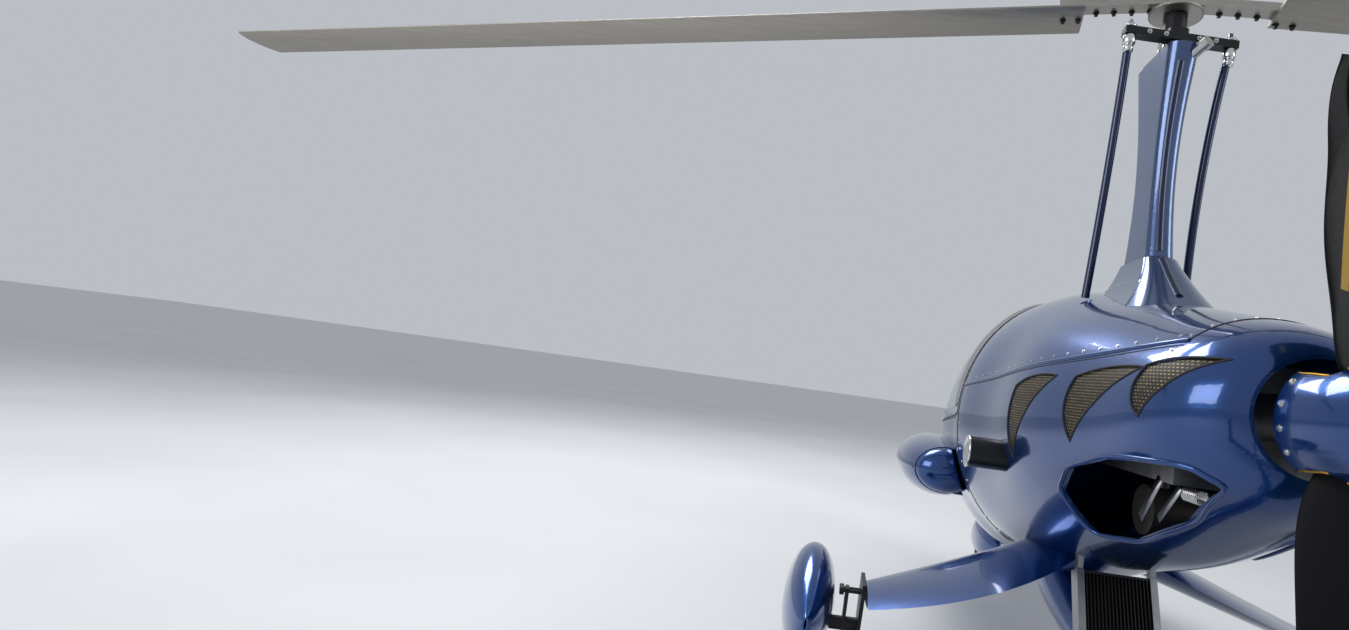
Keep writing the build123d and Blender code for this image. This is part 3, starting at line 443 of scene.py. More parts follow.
skin = search_tree("cabin_shell", "canopy_frame", "canopy_glass", "engine_cowl", "hump_cover")


def cast(surface, start, towards):
    """Point and facing where a ray meets a surface, or None for both."""
    return surface.ray_cast(Vector(start), Vector(towards))[:2]


def from_side(y, z, side, surface=skin):
    """Point and facing where a level ray from one side meets a surface."""
    return cast(surface, (side * 3, y, z), (-side, 0, 0))


def from_round(y, angle, middle=0.95, surface=skin):
    """Point and facing where a ray towards the body's middle line meets a surface."""
    outward = Vector((cos(angle), 0, sin(angle)))
    return cast(surface, Vector((0, y, middle)) + outward * 2, -outward)


def on_skin(outline, side, surface=skin):
    """Side-view points cast onto the skin. Rays that miss are dropped."""
    hits = [from_side(y, z, side, surface)[0] for y, z in outline]
    return [hit for hit in hits if hit is not None]


def round_skin(y, degrees, middle=0.95, surface=skin):
    """Points round the body at one station. Rays that miss are dropped."""
    hits = [from_round(y, radians(angle), middle, surface)[0] for angle in degrees]
    return [hit for hit in hits if hit is not None]


def both_sides(outline, surface=skin):
    """The same outline cast onto the port and the starboard skin."""
    return [on_skin(outline, side, surface) for side in SIDES]


def between(start, end, count):
    """Evenly spaced points from start to end, both included."""
    start, end = Vector(start), Vector(end)
    return [start.lerp(end, i / (count - 1)) for i in range(count)]


def turns(count, shift=0.0):
    """Cosine and sine of evenly spaced angles, all the way round."""
    angles = [2 * pi * (i + shift) / count for i in range(count)]
    return [(cos(angle), sin(angle)) for angle in angles]


def through(start, middle, end, count):
    """Points along the circle arc through three points of a plane."""
    (ax, ay), (bx, by), (cx, cy) = start, middle, end
    d = 2 * (ax * (by - cy) + bx * (cy - ay) + cx * (ay - by))
    aa, bb, cc = ax * ax + ay * ay, bx * bx + by * by, cx * cx + cy * cy
    ux = (aa * (by - cy) + bb * (cy - ay) + cc * (ay - by)) / d
    uy = (aa * (cx - bx) + bb * (ax - cx) + cc * (bx - ax)) / d
    radius = (Vector(start) - Vector((ux, uy))).length
    a0, a1, a2 = (atan2(p[1] - uy, p[0] - ux) for p in (start, middle, end))
    span = (a2 - a0) % (2 * pi)
    if (a1 - a0) % (2 * pi) > span:
        span -= 2 * pi
    angles = [a0 + span * i / (count - 1) for i in range(count)]
    return [(ux + radius * cos(angle), uy + radius * sin(angle)) for angle in angles]


# %% [markdown]
# ## Making pieces
# Every added piece is one plain mesh at the origin that rides on one body of the machine.
# Tubes along a path come from a curve with a round bevel, which is turned into a mesh once.
# Turned shapes are built ring by ring.

# %% Piece makers
SEAL = (black_rubber, "airframe", "black_metal")
PAINTED = (blue_paint, "airframe", "blue_paint")
BRIGHT = (bright_steel, "airframe", "aluminium")


def piece(name, mesh, material, body, slot):
    """Shows a finished mesh as one piece on a body."""
    mesh.materials.clear()
    mesh.materials.append(material)
    mesh.shade_smooth()
    made = bpy.data.objects.new(name, mesh)
    scene.collection.objects.link(made)
    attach(made, body)
    print(name, "has", len(mesh.polygons), "faces")
    return made


def tubes(name, paths, radius, material, body, slot, closed=False, sides=3):
    """Round tubes along paths of points, as one piece."""
    data = bpy.data.curves.new(name, "CURVE")
    data.dimensions = "3D"
    data.bevel_depth = radius
    data.bevel_resolution = sides
    data.use_fill_caps = True
    for path in paths:
        spline = data.splines.new("POLY")
        spline.points.add(len(path) - 1)
        for point, place_at in zip(spline.points, path):
            point.co = (*place_at, 1)
        spline.use_cyclic_u = closed
    carrier = bpy.data.objects.new(name + "_path", data)
    scene.collection.objects.link(carrier)
    mesh = bpy.data.meshes.new_from_object(carrier)
    mesh.name = name
    bpy.data.objects.remove(carrier)
    return piece(name, mesh, material, body, slot)


def turned(profile, centre, axis, segments=32):
    """Lathe-turned closed shape: (radius, height) rows about an axis through centre."""
    shape = bmesh.new()
    turn = Vector((0, 0, 1)).rotation_difference(Vector(axis)).to_matrix()
    rings = []
    for radius, height in profile:
        spots = [Vector((radius * a, radius * b, height)) for a, b in turns(segments)]
        rings.append([shape.verts.new(turn @ spot + Vector(centre)) for spot in spots])
    for low, high in zip(rings, rings[1:]):
        for i in range(segments):
            j = (i + 1) % segments
            shape.faces.new((low[i], low[j], high[j], high[i]))
    shape.faces.new(list(reversed(rings[0])))
    shape.faces.new(rings[-1])
    return shape


def thickened(shape, by):
    """Gives an open sheet thickness by moving a copy of it."""
    copied = bmesh.ops.extrude_face_region(shape, geom=list(shape.faces))["geom"]
    moved = [item for item in copied if isinstance(item, bmesh.types.BMVert)]
    bmesh.ops.translate(shape, verts=moved, vec=by)


def joined(name, shapes):
    """One mesh out of several bmesh shapes, with its faces turned outwards."""
    mesh = bpy.data.meshes.new(name)
    whole = bmesh.new()
    for shape in shapes:
        part = bpy.data.meshes.new("part")
        bmesh.ops.recalc_face_normals(shape, faces=shape.faces)
        shape.to_mesh(part)
        shape.free()
        whole.from_mesh(part)
        bpy.data.meshes.remove(part)
    whole.to_mesh(mesh)
    whole.free()
    return mesh


# %% [markdown]
# ## Fasteners by Geometry Nodes
# Screws and bolts repeat many times, so one node tree makes them all: it stands a head with its
# washer on every given point, turned to the surface there, and makes real faces of the copies.

# %% Fastener tree
def fastener_tree():
    """Tree with named inputs for a fastener's sizes."""
    tree = bpy.data.node_groups.new("fasteners", "GeometryNodeTree")
    tree.is_modifier = True
    face = tree.interface
    face.new_socket(name="Geometry", in_out="INPUT", socket_type="NodeSocketGeometry")
    for name in ("Head radius", "Head height", "Washer radius"):
        face.new_socket(name=name, in_out="INPUT", socket_type="NodeSocketFloat")
    face.new_socket(name="Sides", in_out="INPUT", socket_type="NodeSocketInt")
    face.new_socket(name="Finish", in_out="INPUT", socket_type="NodeSocketMaterial")
    face.new_socket(name="Geometry", in_out="OUTPUT", socket_type="NodeSocketGeometry")
    given = node(tree, "NodeGroupInput").outputs
    head = node(
        tree, "GeometryNodeMeshCone",
        {
            "Vertices": given["Sides"], "Radius Bottom": given["Head radius"],
            "Depth": given["Head height"],
        },
        fill_type="NGON",
    )
    top = maths(tree, "MULTIPLY", given["Head radius"], 0.82)
    tree.links.new(top, head.inputs["Radius Top"])
    washer_depth = maths(tree, "MULTIPLY", given["Head height"], 0.3)
    washer = node(
        tree, "GeometryNodeMeshCylinder",
        {"Vertices": 14, "Radius": given["Washer radius"], "Depth": washer_depth},
    )
    both = node(tree, "GeometryNodeJoinGeometry")
    tree.links.new(head.outputs["Mesh"], both.inputs["Geometry"])
    tree.links.new(washer.outputs["Mesh"], both.inputs["Geometry"])
    facing = node(
        tree, "GeometryNodeInputNamedAttribute", {"Name": "facing"}, data_type="FLOAT_VECTOR",
    )
    turn = node(
        tree, "FunctionNodeAlignRotationToVector",
        {"Vector": facing.outputs["Attribute"]}, axis="Z",
    )
    copies = node(
        tree, "GeometryNodeInstanceOnPoints",
        {
            "Points": given["Geometry"], "Instance": both.outputs["Geometry"],
            "Rotation": turn.outputs["Rotation"],
        },
    )
    real = node(tree, "GeometryNodeRealizeInstances", {"Geometry": copies.outputs["Instances"]})
    dressed = node(
        tree, "GeometryNodeSetMaterial",
        {"Geometry": real.outputs["Geometry"], "Material": given["Finish"]},
    )
    node(tree, "NodeGroupOutput", {"Geometry": dressed.outputs["Geometry"]})
    return tree


fasteners = fastener_tree()
WASHER_SHARE = 1.35


def screws(name, spots, radius, height, material, body, slot, sides=6):
    """Fasteners on (point, facing) spots, as one piece of plain mesh. Spots with no point drop."""
    spots = [(point, facing) for point, facing in spots if point is not None]
    mesh = bpy.data.meshes.new(name + "_points")
    mesh.from_pydata([tuple(point) for point, _ in spots], [], [])
    layer = mesh.attributes.new("facing", "FLOAT_VECTOR", "POINT")
    layer.data.foreach_set("vector", [part for _, facing in spots for part in facing])
    carrier = bpy.data.objects.new(name + "_points", mesh)
    scene.collection.objects.link(carrier)
    modifier = carrier.modifiers.new("tree", "NODES")
    modifier.node_group = fasteners
    given = {
        "Head radius": radius, "Head height": height * 2, "Washer radius": radius * WASHER_SHARE,
        "Sides": sides, "Finish": material,
    }
    for socket in fasteners.interface.items_tree:
        if socket.in_out == "INPUT" and socket.name in given:
            modifier[socket.identifier] = given[socket.name]
    depsgraph = bpy.context.evaluated_depsgraph_get()
    result = bpy.data.meshes.new_from_object(carrier.evaluated_get(depsgraph))
    carrier.modifiers.clear()
    bpy.data.objects.remove(carrier)
    result.name = name
    piece(name, result, material, body, slot).data.shade_flat()


# %% [markdown]
# ## Gill edges
# Each gill is cut through the skin behind a thin black rubber edge. The same three arcs as the
# opening's, pushed out a few millimetres, are cast onto the skin to carry the edge.
# Each row holds the low tip's y and z, the length and the height.

# %% Gill edges
GILLS = [
    (-0.030, 0.885, 0.290, 0.285),
    (0.350, 0.985, 0.330, 0.215),
    (0.668, 1.080, 0.195, 0.145),
]


def gill_outline(y, z, length, height, grow):
    """Side-view outline of one gill, pushed out by grow."""
    low_tip, shoulder = (y, z), (y - 0.030, z + height * 0.86)
    high_tip = (y + length * 0.82, z + height)
    outline = through(low_tip, (y - 0.045, z + height * 0.45), shoulder, 14)[:-1]
    outline += through(shoulder, (y + length * 0.3, z + height * 0.98), high_tip, 14)[:-1]
    outline += through(high_tip, (y + length * 0.38, z + height * 0.62), low_tip, 20)[:-1]
    middle = sum((Vector(p) for p in outline), Vector((0, 0))) / len(outline)
    return [Vector(p) + (Vector(p) - middle).normalized() * grow for p in outline]


gill_paths = [path for row in GILLS for path in both_sides(gill_outline(*row, 0.004))]
tubes("gill_edges", gill_paths, 0.0032, *SEAL, closed=True)

# %% [markdown]
# ## Seams, the hump's rail and the lips of the openings
# The hump cover sits on the cowl along a bright raised rail, with a dark joint under it.
# The big outlet low on each side has a rolled lip that catches the light. Rings of dark sealant
# mark where the cabin meets the cowl and where the hump cover ends.

# %% Rail, lips and joints
HUMP_RAIL = ((-0.766, 1.1265), (0.697, 1.2745))
HUMP_JOINT = ((-0.766, 1.1165), (0.697, 1.2610))
OUTLET = [
    (0.240, 0.830), (0.330, 0.905), (0.520, 0.955), (0.760, 0.975), (0.800, 0.940), (0.640, 0.840),
    (0.420, 0.745), (0.260, 0.720),
]
CABIN_JOINT_Y, HUMP_END_Y, HUMP_MIDDLE, HUMP_FOOT = -0.7735, 0.696, 1.1, 1.262

tubes("hump_rail", both_sides(between(*HUMP_RAIL, 60)), 0.0065, *PAINTED)
tubes("hump_joint", both_sides(between(*HUMP_JOINT, 60)), 0.0018, *SEAL)


def rounded(corners, grow, share=0.24, steps=5):
    """Closed outline with softened corners, pushed out by grow from its middle."""
    middle = sum((Vector(c) for c in corners), Vector((0, 0))) / len(corners)
    corners = [Vector(c) + (Vector(c) - middle).normalized() * grow for c in corners]
    outline = []
    for i, corner in enumerate(corners):
        before, after = corners[i - 1], corners[(i + 1) % len(corners)]
        a, b = corner.lerp(before, share), corner.lerp(after, share)
        for k in range(steps + 1):
            t = k / steps
            outline.append(a * (1 - t) ** 2 + corner * 2 * t * (1 - t) + b * t ** 2)
        outline += [b.lerp(after.lerp(corner, share), k / 6) for k in range(1, 6)]
    return outline


tubes("outlet_lips", both_sides(rounded(OUTLET, 0.012)), 0.008, *PAINTED, closed=True)
cabin_ring = round_skin(CABIN_JOINT_Y, range(0, 360, 4))
tubes("cabin_joint", [cabin_ring], 0.0022, *SEAL, closed=True)
hump_ring = round_skin(HUMP_END_Y, range(24, 158, 3), HUMP_MIDDLE)
hump_ring = [point for point in hump_ring if point.z > HUMP_FOOT]
tubes("hump_end_joint", [hump_ring], 0.0020, *SEAL)

# %% [markdown]
# ## Canopy seal
# A soft black seal runs along the canopy's sills and over its rear edge. A second line shows
# where the clear bubble is bonded into its frame. Both ride on the canopy and lift with it.

# %% Canopy seal
canopy_skin = search_tree("canopy_frame", "canopy_glass")


def canopy_edges(rear_corner, front_corner, count, rear_y, middle):
    """Lines along both sills of the canopy and over its rear edge."""
    lines = both_sides(between(rear_corner, front_corner, count), canopy_skin)
    return lines + [round_skin(rear_y, range(2, 179, 3), middle, canopy_skin)]


seal_paths = canopy_edges((-0.812, 0.995), (-2.222, 0.864), 60, -0.8085, 0.98)
tubes("canopy_seal", seal_paths, 0.0028, black_rubber, "canopy", "black_metal")
bond_paths = canopy_edges((-0.856, 1.0365), (-2.190, 0.9115), 50, -0.8545, 1.03)
tubes("canopy_bond", bond_paths, 0.0024, black_rubber, "canopy", "black_metal")

# %% [markdown]
# ## Side pods
# Each pod ends in a rounded blue closing panel that stops just short of the body, which leaves
# a dark outlet slot. A sharp crease runs along the pod's widest line.

# %% Pod ends and creases
POD_X, POD_REAR_Y, POD_Z, POD_HALF_WIDTH, POD_HALF_HEIGHT = 0.480, -1.000, 0.710, 0.1465, 0.1065
PANEL_DEPTH, PANEL_SET_IN, PANEL_THICKNESS, SLOT_GAP = 0.085, 0.004, 0.003, 0.016
SHORT_OF_POLE = 0.9985
CREASE_Z = 0.705
pod_skin = search_tree("side_pods")
body_skin = search_tree("cabin_shell", "engine_cowl")


def pod_end(side, rows=28, columns=14):
    """Domed closing panel, from the pod's rear rim in to the slot beside the body."""
    shape = bmesh.new()
    grid = []
    for r in range(rows + 1):
        height = (-1 + 2 * r / rows) * SHORT_OF_POLE
        z = POD_Z + height * POD_HALF_HEIGHT
        reach = POD_HALF_WIDTH * sqrt(1 - height * height)
        hit, _ = from_side(POD_REAR_Y + 0.02, z, side, body_skin)
        wall = abs(hit.x) + SLOT_GAP
        outer = max(POD_X + reach, wall + 0.002)
        row = []
        for c in range(columns + 1):
            x = wall + (outer - wall) * (c / columns)
            across = (x - POD_X) / POD_HALF_WIDTH
            dome = sqrt(max(0.0, 1 - across * across - height * height))
            y = POD_REAR_Y + PANEL_DEPTH * dome - PANEL_SET_IN
            row.append(shape.verts.new((side * x, y, z)))
        grid.append(row)
    for low, high in zip(grid, grid[1:]):
        for c in range(columns):
            corners = (low[c], low[c + 1], high[c + 1], high[c])
            shape.faces.new(corners if side > 0 else tuple(reversed(corners)))
    thickened(shape, (0, PANEL_THICKNESS, 0))
    return shape


piece("pod_ends", joined("pod_ends", [pod_end(side) for side in SIDES]), *PAINTED)
crease_line = [(-2.07 + 0.03 * i, CREASE_Z) for i in range(36)]
tubes("pod_creases", both_sides(crease_line, pod_skin), 0.0045, *PAINTED, sides=2)

# %% [markdown]
# ## Screws on the skin
# Small bright screws hold the hump cover, the cowl's front edge and the mast's collar.

# %% Skin screws
SCREW_SIZE = (0.0042, 0.0016)
HUMP_SCREW_LINE = ((-0.700, 1.152), (0.650, 1.288))
COWL_SCREW_ANGLES = [*range(-70, 10, 10), *range(170, 251, 10)]

hump_spots = [from_side(y, z, side) for side in SIDES for y, z in between(*HUMP_SCREW_LINE, 19)]
hump_spots += [from_round(0.680, radians(angle), HUMP_MIDDLE) for angle in range(30, 151, 12)]
cowl_spots = [from_round(-0.748, radians(angle)) for angle in COWL_SCREW_ANGLES]
collar_skin = search_tree("mast_collar")
collar_spots = [
    from_side(-0.235 + 0.062 * i, 1.542 - 0.004 * abs(i - 2), side, collar_skin)
    for side in SIDES for i in range(7)
]
for name, spots in (
    ("hump_screws", hump_spots), ("cowl_screws", cowl_spots), ("collar_screws", collar_spots),
):
    screws(name, spots, *SCREW_SIZE, *BRIGHT, sides=12)

# %% [markdown]
# ## Spinner
# A ring of bright screws holds the spinner's shell to its back plate. A gold edge strip lines
# each cut-out where a blade root comes through.

# %% Spinner trim
SCREW_RING_Y, SLOT_MIDDLE_Y = 0.016, 0.050
SLOT_HALF_WIDTH, SLOT_HALF_DEPTH, STRIP_OFFSET = 0.084, 0.062, 0.003
spinner_skin = search_tree("spinner")
hub_centre = Vector((0, 0.905, 1.115))
spinner_spots = []
for level, rise in turns(16, 0.5):
    outward = Vector((level, 0, rise))
    start = hub_centre + Vector((0, SCREW_RING_Y, 0)) + outward
    hit, facing = cast(spinner_skin, start, -outward)
    if hit is not None and (hit - hub_centre).length > 0.12:
        spinner_spots.append((hit, facing))
screws(
    "spinner_screws", spinner_spots, 0.0062, 0.0026, bright_steel, "propeller", "aluminium",
    sides=12,
)

slot_edges = []
for turn_by in (PROP_TURN, PROP_TURN + pi):
    outward = Vector((sin(turn_by), 0, cos(turn_by)))
    across = Vector((cos(turn_by), 0, -sin(turn_by)))
    path = []
    for u, v in rounded([(-1, -1), (1, -1), (1, 1), (-1, 1)], 0.0, 0.3, 8):
        along = SLOT_MIDDLE_Y + v * (SLOT_HALF_DEPTH + STRIP_OFFSET)
        start = hub_centre + Vector((0, along, 0))
        start += across * u * (SLOT_HALF_WIDTH + STRIP_OFFSET) + outward * 0.6
        hit, _ = cast(spinner_skin, start, -outward)
        if hit is not None and (hit - hub_centre).dot(outward) > 0.05:
            path.append(hit)
    slot_edges.append(path)
tubes("spinner_edges", slot_edges, 0.0028, gold_tape, "propeller", "carbon_black")

# %% [markdown]
# ## Mast and rotor head
# A dark blue strip runs down the back of the fairing and the collar: painted shade of the groove
# that runs there. It is a tube sunk so far that only its back shows. The control rods end in
# bright rod ends with lock nuts.

# %% Mast strip and collar seal
STRIP_SUNK = Vector((0, -0.0115, 0))
STRIP_X = 0.012
mast_skin = search_tree("mast_fairing")
strip_paths = []
for surface, low, high in ((mast_skin, 1.655, 2.335), (collar_skin, 1.470, 1.615)):
    path = []
    steps = round((high - low) / 0.02)
    for i in range(steps + 1):
        z = low + (high - low) * i / steps
        hit, _ = cast(surface, (STRIP_X, 1.0, z), (0, -1, 0))
        if hit is not None:
            path.append(hit + STRIP_SUNK)
    strip_paths.append(path)
# The strip's dark blue is painted shade of the groove down the back of the mast.
tubes("mast_groove_shade", strip_paths, 0.0160, rod_paint, "airframe", "dark_blue_tube")

COLLAR_TOP = Vector((0, -0.1, 1.6325))
collar_top = []
for abeam, astern in turns(48):
    outward = Vector((abeam, astern, 0))
    hit, _ = cast(mast_skin, COLLAR_TOP + outward, -outward)
    if hit is not None:
        collar_top.append(hit)
tubes("collar_seal", [collar_top], 0.0030, *SEAL, closed=True)

# %% Rod ends
LOCK_NUT = [
    (0.012, -0.062), (0.0175, -0.060), (0.0175, -0.040), (0.014, -0.037), (0.014, -0.0325),
    (0.0215, -0.0315), (0.0225, -0.029), (0.0225, -0.004), (0.0210, -0.001),
]
TOP_NUT = [
    (0.006, 0.0285), (0.021, 0.0290), (0.023, 0.036), (0.016, 0.043), (0.009, 0.046),
    (0.008, 0.060), (0.004, 0.062),
]
rod_end_shapes = [
    turned(profile, (side * 0.183, -0.020, 2.430), (0, 0, 1), 24)
    for side in SIDES for profile in (LOCK_NUT, TOP_NUT)
]
piece("rod_ends", joined("rod_ends", rod_end_shapes), *BRIGHT)

# %% [markdown]
# ## Rotor bolts
# A row of dark bolts runs along the front edge of the hub bar and on into each blade's root.
# The bar droops and is turned as the solid one is, so the bolts are laid out straight and then
# turned the same way. Bright bolts hold the rotor head together.

# %% Rotor bolts
ROTOR_TURN, ROTOR_DROOP = radians(12.5), radians(3.4)
BOLT_SIZE, BOLT_ROW, ROOT_ROW = (0.0088, 0.0070), -0.019, -0.018
BAR_HALF_THICKNESS, ROOT_UNDERSIDE, ROOT_START = 0.0150, -0.0415, 0.315
hub_pivot = Vector((0, -0.075, 2.610))


def on_rotor(side, point):
    """Point of a straight half rotor, drooped and turned to its place."""
    drooped = Matrix.Rotation(ROTOR_DROOP, 3, "Y") @ Vector(point)
    turned_by = -ROTOR_TURN if side > 0 else pi - ROTOR_TURN
    return Matrix.Rotation(turned_by, 3, "Z") @ drooped + hub_pivot


bar_spots, root_spots = [], []
for side in SIDES:
    up = on_rotor(side, (0, 0, 1)) - hub_pivot
    for i in range(6):
        x = 0.090 + 0.064 * i
        bar_spots.append((on_rotor(side, (x, BOLT_ROW * side, BAR_HALF_THICKNESS)), up))
        if x < ROOT_START:
            bar_spots.append((on_rotor(side, (x, BOLT_ROW * side, -BAR_HALF_THICKNESS)), -up))
    for x in (0.347, 0.403):
        root_spots.append((on_rotor(side, (x, ROOT_ROW * side, ROOT_UNDERSIDE)), -up))
screws("hub_bolts", bar_spots, *BOLT_SIZE, black_metal, "rotor", "black_metal")
screws("grip_nuts", root_spots, *BOLT_SIZE, black_metal, "rotor", "black_metal")

head_spots = []
for side in SIDES:
    for y in (-0.17, -0.03):
        head_spots.append((Vector((side * 0.036, y, 2.4145)), Vector((0, 0, 1))))
    for z in (2.430, 2.470):
        for y in (-0.055, -0.095):
            head_spots.append((Vector((side * 0.035, y, z)), Vector((side, 0, 0))))
    for x in (0.120, 0.060):
        head_spots.append((Vector((side * x, 0.002, 2.445)), Vector((0, 1, 0))))
screws("head_bolts", head_spots, 0.0065, 0.0045, *BRIGHT)

# %% [markdown]
# ## Outlet plates and springs
# Behind the big outlet the photograph shows slanted grey plates and a coil spring.
# Two plates and a spring stand behind each outlet, below and behind the engine.

# %% Outlet plates and springs
SPRING_TURNS, TURN_STEPS, SPRING_RADIUS, SPRING_PITCH = 9, 16, 0.016, 0.0085


def slanted_plate(side, x, y, z, length, width, lean):
    """Thin plate that leans in side view."""
    shape = bmesh.new()
    along = Vector((0, cos(lean), sin(lean)))
    across = Vector((0, -sin(lean), cos(lean)))
    base = Vector((side * x, y, z))
    outline = [base + along * u + across * v for u, v in (
        (0, 0), (length, 0), (length, width), (0, width),
    )]
    shape.faces.new([shape.verts.new(corner) for corner in outline])
    thickened(shape, (0.0025, 0, 0))
    bmesh.ops.recalc_face_normals(shape, faces=shape.faces)
    bmesh.ops.bevel(shape, geom=list(shape.edges), offset=0.0008, segments=2, affect="EDGES")
    return shape


def coil(side):
    """Path of one spring, lying along the machine."""
    path = []
    for i in range(SPRING_TURNS * TURN_STEPS + 1):
        angle = 2 * pi * i / TURN_STEPS
        path.append(Vector((
            side * 0.165 + SPRING_RADIUS * cos(angle),
            0.640 + SPRING_PITCH * i / TURN_STEPS,
            0.905 + SPRING_RADIUS * sin(angle),
        )))
    return path


PLATES = (
    (0.188, 0.470, 0.800, 0.150, 0.030, radians(52)),
    (0.184, 0.560, 0.815, 0.135, 0.022, radians(44)),
)
plates = joined("outlet_plates", [slanted_plate(side, *row) for side in SIDES for row in PLATES])
piece("outlet_plates", plates, tank_alloy, "airframe", "radiator_grey")
tubes("outlet_springs", [coil(side) for side in SIDES], 0.0022, *BRIGHT, sides=2)

# %% [markdown]
# ## Air filters
# Each filter's can has a bright rolled ring at its outer end.

# %% Filter rings
ROLLED_RING = [
    (0.030, -0.004), (0.0555, -0.004), (0.0575, 0.000), (0.0555, 0.004), (0.046, 0.0045),
    (0.043, 0.0015), (0.030, 0.0015),
]
ring_shapes = [
    turned(ROLLED_RING, (side * 0.556, -0.152, 0.878), (side, 0, 0), 48) for side in SIDES
]
piece("filter_rings", joined("filter_rings", ring_shapes), *BRIGHT)

# %% [markdown]
# ## Wheels
# The solid tyres are plain, so treaded ones take their place: the same outline turned about
# the axle, with four grooves sunk into the crown. Bright nuts ring each hub.

# %% Tyres
PORT_HUB, STARBOARD_HUB = (1.046, -0.240, 0.200), (-1.046, -0.240, 0.200)
NOSE_HUB = (0.0, -2.010, 0.170)
MAIN_TYRE, NOSE_TYRE = (0.200, 0.104, 0.046), (0.170, 0.084, 0.042)
GROOVES, GROOVE_DEPTH = (0.62, 0.22, -0.22, -0.62), 0.0045
GROOVE_PROFILE = ((0.0030, 0.0), (0.0020, GROOVE_DEPTH), (-0.0020, GROOVE_DEPTH), (-0.0030, 0.0))
CROWN_FALL = 0.045


def treaded(centre, radius, rim, half_width, segments=96):
    """Closed tyre section turned about the axle."""
    x, y, z = centre
    edge = half_width * 0.76
    wall = through(
        (half_width * 0.72, rim + 0.0003), (half_width, (rim + radius) / 2),
        (edge, radius * (1 - CROWN_FALL)), 12,
    )
    section = list(wall)
    for groove in GROOVES:
        for offset, sunk in GROOVE_PROFILE:
            across = edge * groove + offset
            section.append((across, radius - radius * CROWN_FALL * (across / edge) ** 2 - sunk))
    section += [(-a, b) for a, b in reversed(wall)]
    shape = bmesh.new()
    rings = [
        [shape.verts.new((x + a, y + b * astern, z + b * rise)) for a, b in section]
        for astern, rise in turns(segments)
    ]
    count = len(section)
    for i, here in enumerate(rings):
        there = rings[(i + 1) % segments]
        for k in range(count):
            n = (k + 1) % count
            shape.faces.new((here[k], here[n], there[n], there[k]))
    return shape


for name, body, centre, sizes in (
    ("tyre_left", "wheel_left", PORT_HUB, MAIN_TYRE),
    ("tyre_right", "wheel_right", STARBOARD_HUB, MAIN_TYRE),
    ("nose_tyre", "nose_wheel", NOSE_HUB, NOSE_TYRE),
):
    mesh = joined(name + "_tread", [treaded(centre, *sizes)])
    made = piece(name + "_tread", mesh, tyre_rubber, body, "tyre_rubber")
    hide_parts(name)

# %% Wheel nuts
for name, body, centre, face_x, ring in (
    ("nuts_left", "wheel_left", PORT_HUB, 0.0405, 0.0235),
    ("nuts_right", "wheel_right", STARBOARD_HUB, 0.0405, 0.0235),
    ("nuts_nose", "nose_wheel", NOSE_HUB, 0.0365, 0.0200),
):
    spots = []
    for side in SIDES:
        for astern, rise in turns(5):
            spot = Vector(centre) + Vector((side * face_x, ring * astern, ring * rise))
            spots.append((spot, Vector((side, 0, 0))))
    screws(name, spots, 0.0036, 0.0030, bright_steel, body, "aluminium")

# %% [markdown]
# ## Seats
# The real seats are foam under quilted black leather. The solid seat is remeshed finely and
# puffed up by the cloth solver's air pressure, with its foot held still. The sewn channels are
# pressed in afterwards, because the remesh would lose them.

# %% Seat leather
seat_leather, tree, shader = finish("seat_leather", (0.030, 0.030, 0.034), roughness=0.42)
grain = node(tree, "ShaderNodeTexVoronoi", {"Vector": place(tree), "Scale": 420.0})
pores = noise(tree, 900.0, 3.0)
relief = maths(tree, "MULTIPLY", grain.outputs["Distance"], pores.outputs["Fac"])
bump(tree, shader, relief, 0.35, 0.0008)
wear = noise(tree, 7.0, 5.0).outputs["Fac"]
coloured(tree, shader, wear, [(0.35, (0.022, 0.022, 0.025)), (0.7, (0.045, 0.044, 0.046))])
glossed(tree, shader, wear, 0.32, 0.55)

# %% Padded seats
CHANNEL_X, CHANNEL_WIDTH, LONG_DEPTH, CROSS_DEPTH = 0.105, 0.0075, 0.006, 0.005
PAN_LENGTH, PAN_THICKNESS = 0.38, 0.05
SEATS = (("seat_front", -1.980, 0.530), ("seat_rear", -1.480, 0.500))


def shell_of(name, voxel, draw_in):
    """Even copy of a CAD node's surface, drawn in a little along its normals."""
    mesh = bpy.data.meshes.new(name + "_shell")
    shape = bmesh.new()
    shape.from_mesh(nodes[name].data)
    bmesh.ops.remove_doubles(shape, verts=shape.verts, dist=0.00005)
    shape.to_mesh(mesh)
    shape.free()
    carrier = bpy.data.objects.new(name + "_shell", mesh)
    scene.collection.objects.link(carrier)
    remesh = carrier.modifiers.new("even", "REMESH")
    remesh.mode = "VOXEL"
    remesh.voxel_size = voxel
    smooth = carrier.modifiers.new("soften", "SMOOTH")
    smooth.factor = 0.5
    smooth.iterations = 6
    depsgraph = bpy.context.evaluated_depsgraph_get()
    even = bpy.data.meshes.new_from_object(carrier.evaluated_get(depsgraph))
    bpy.data.objects.remove(carrier)
    for vertex in even.vertices:
        vertex.co -= vertex.normal * draw_in
    return even


def puffed(mesh, foot_top, pressure=4.0, frames=16, most=0.012):
    """Swells a closed mesh by air pressure. Points below foot_top are held, and none moves far."""
    carrier = bpy.data.objects.new("puff", mesh)
    scene.collection.objects.link(carrier)
    held = carrier.vertex_groups.new(name="held")
    held.add([v.index for v in mesh.vertices if v.co.z < foot_top], 1.0, "REPLACE")
    cloth = carrier.modifiers.new("cloth", "CLOTH")
    cloth.settings.use_pressure = True
    cloth.settings.uniform_pressure_force = pressure
    cloth.settings.vertex_group_mass = "held"
    cloth.settings.effector_weights.gravity = 0
    for step in range(1, frames + 1):
        scene.frame_set(step)
    depsgraph = bpy.context.evaluated_depsgraph_get()
    swollen = carrier.evaluated_get(depsgraph).to_mesh()
    start = [v.co.copy() for v in mesh.vertices]
    end = [v.co.copy() for v in swollen.vertices]
    carrier.evaluated_get(depsgraph).to_mesh_clear()
    carrier.modifiers.clear()
    bpy.data.objects.remove(carrier)
    scene.frame_set(1)
    for vertex, a, b in zip(mesh.vertices, start, end):
        move = b - a
        if move.length > most:
            move = move.normalized() * most
        vertex.co = a + move


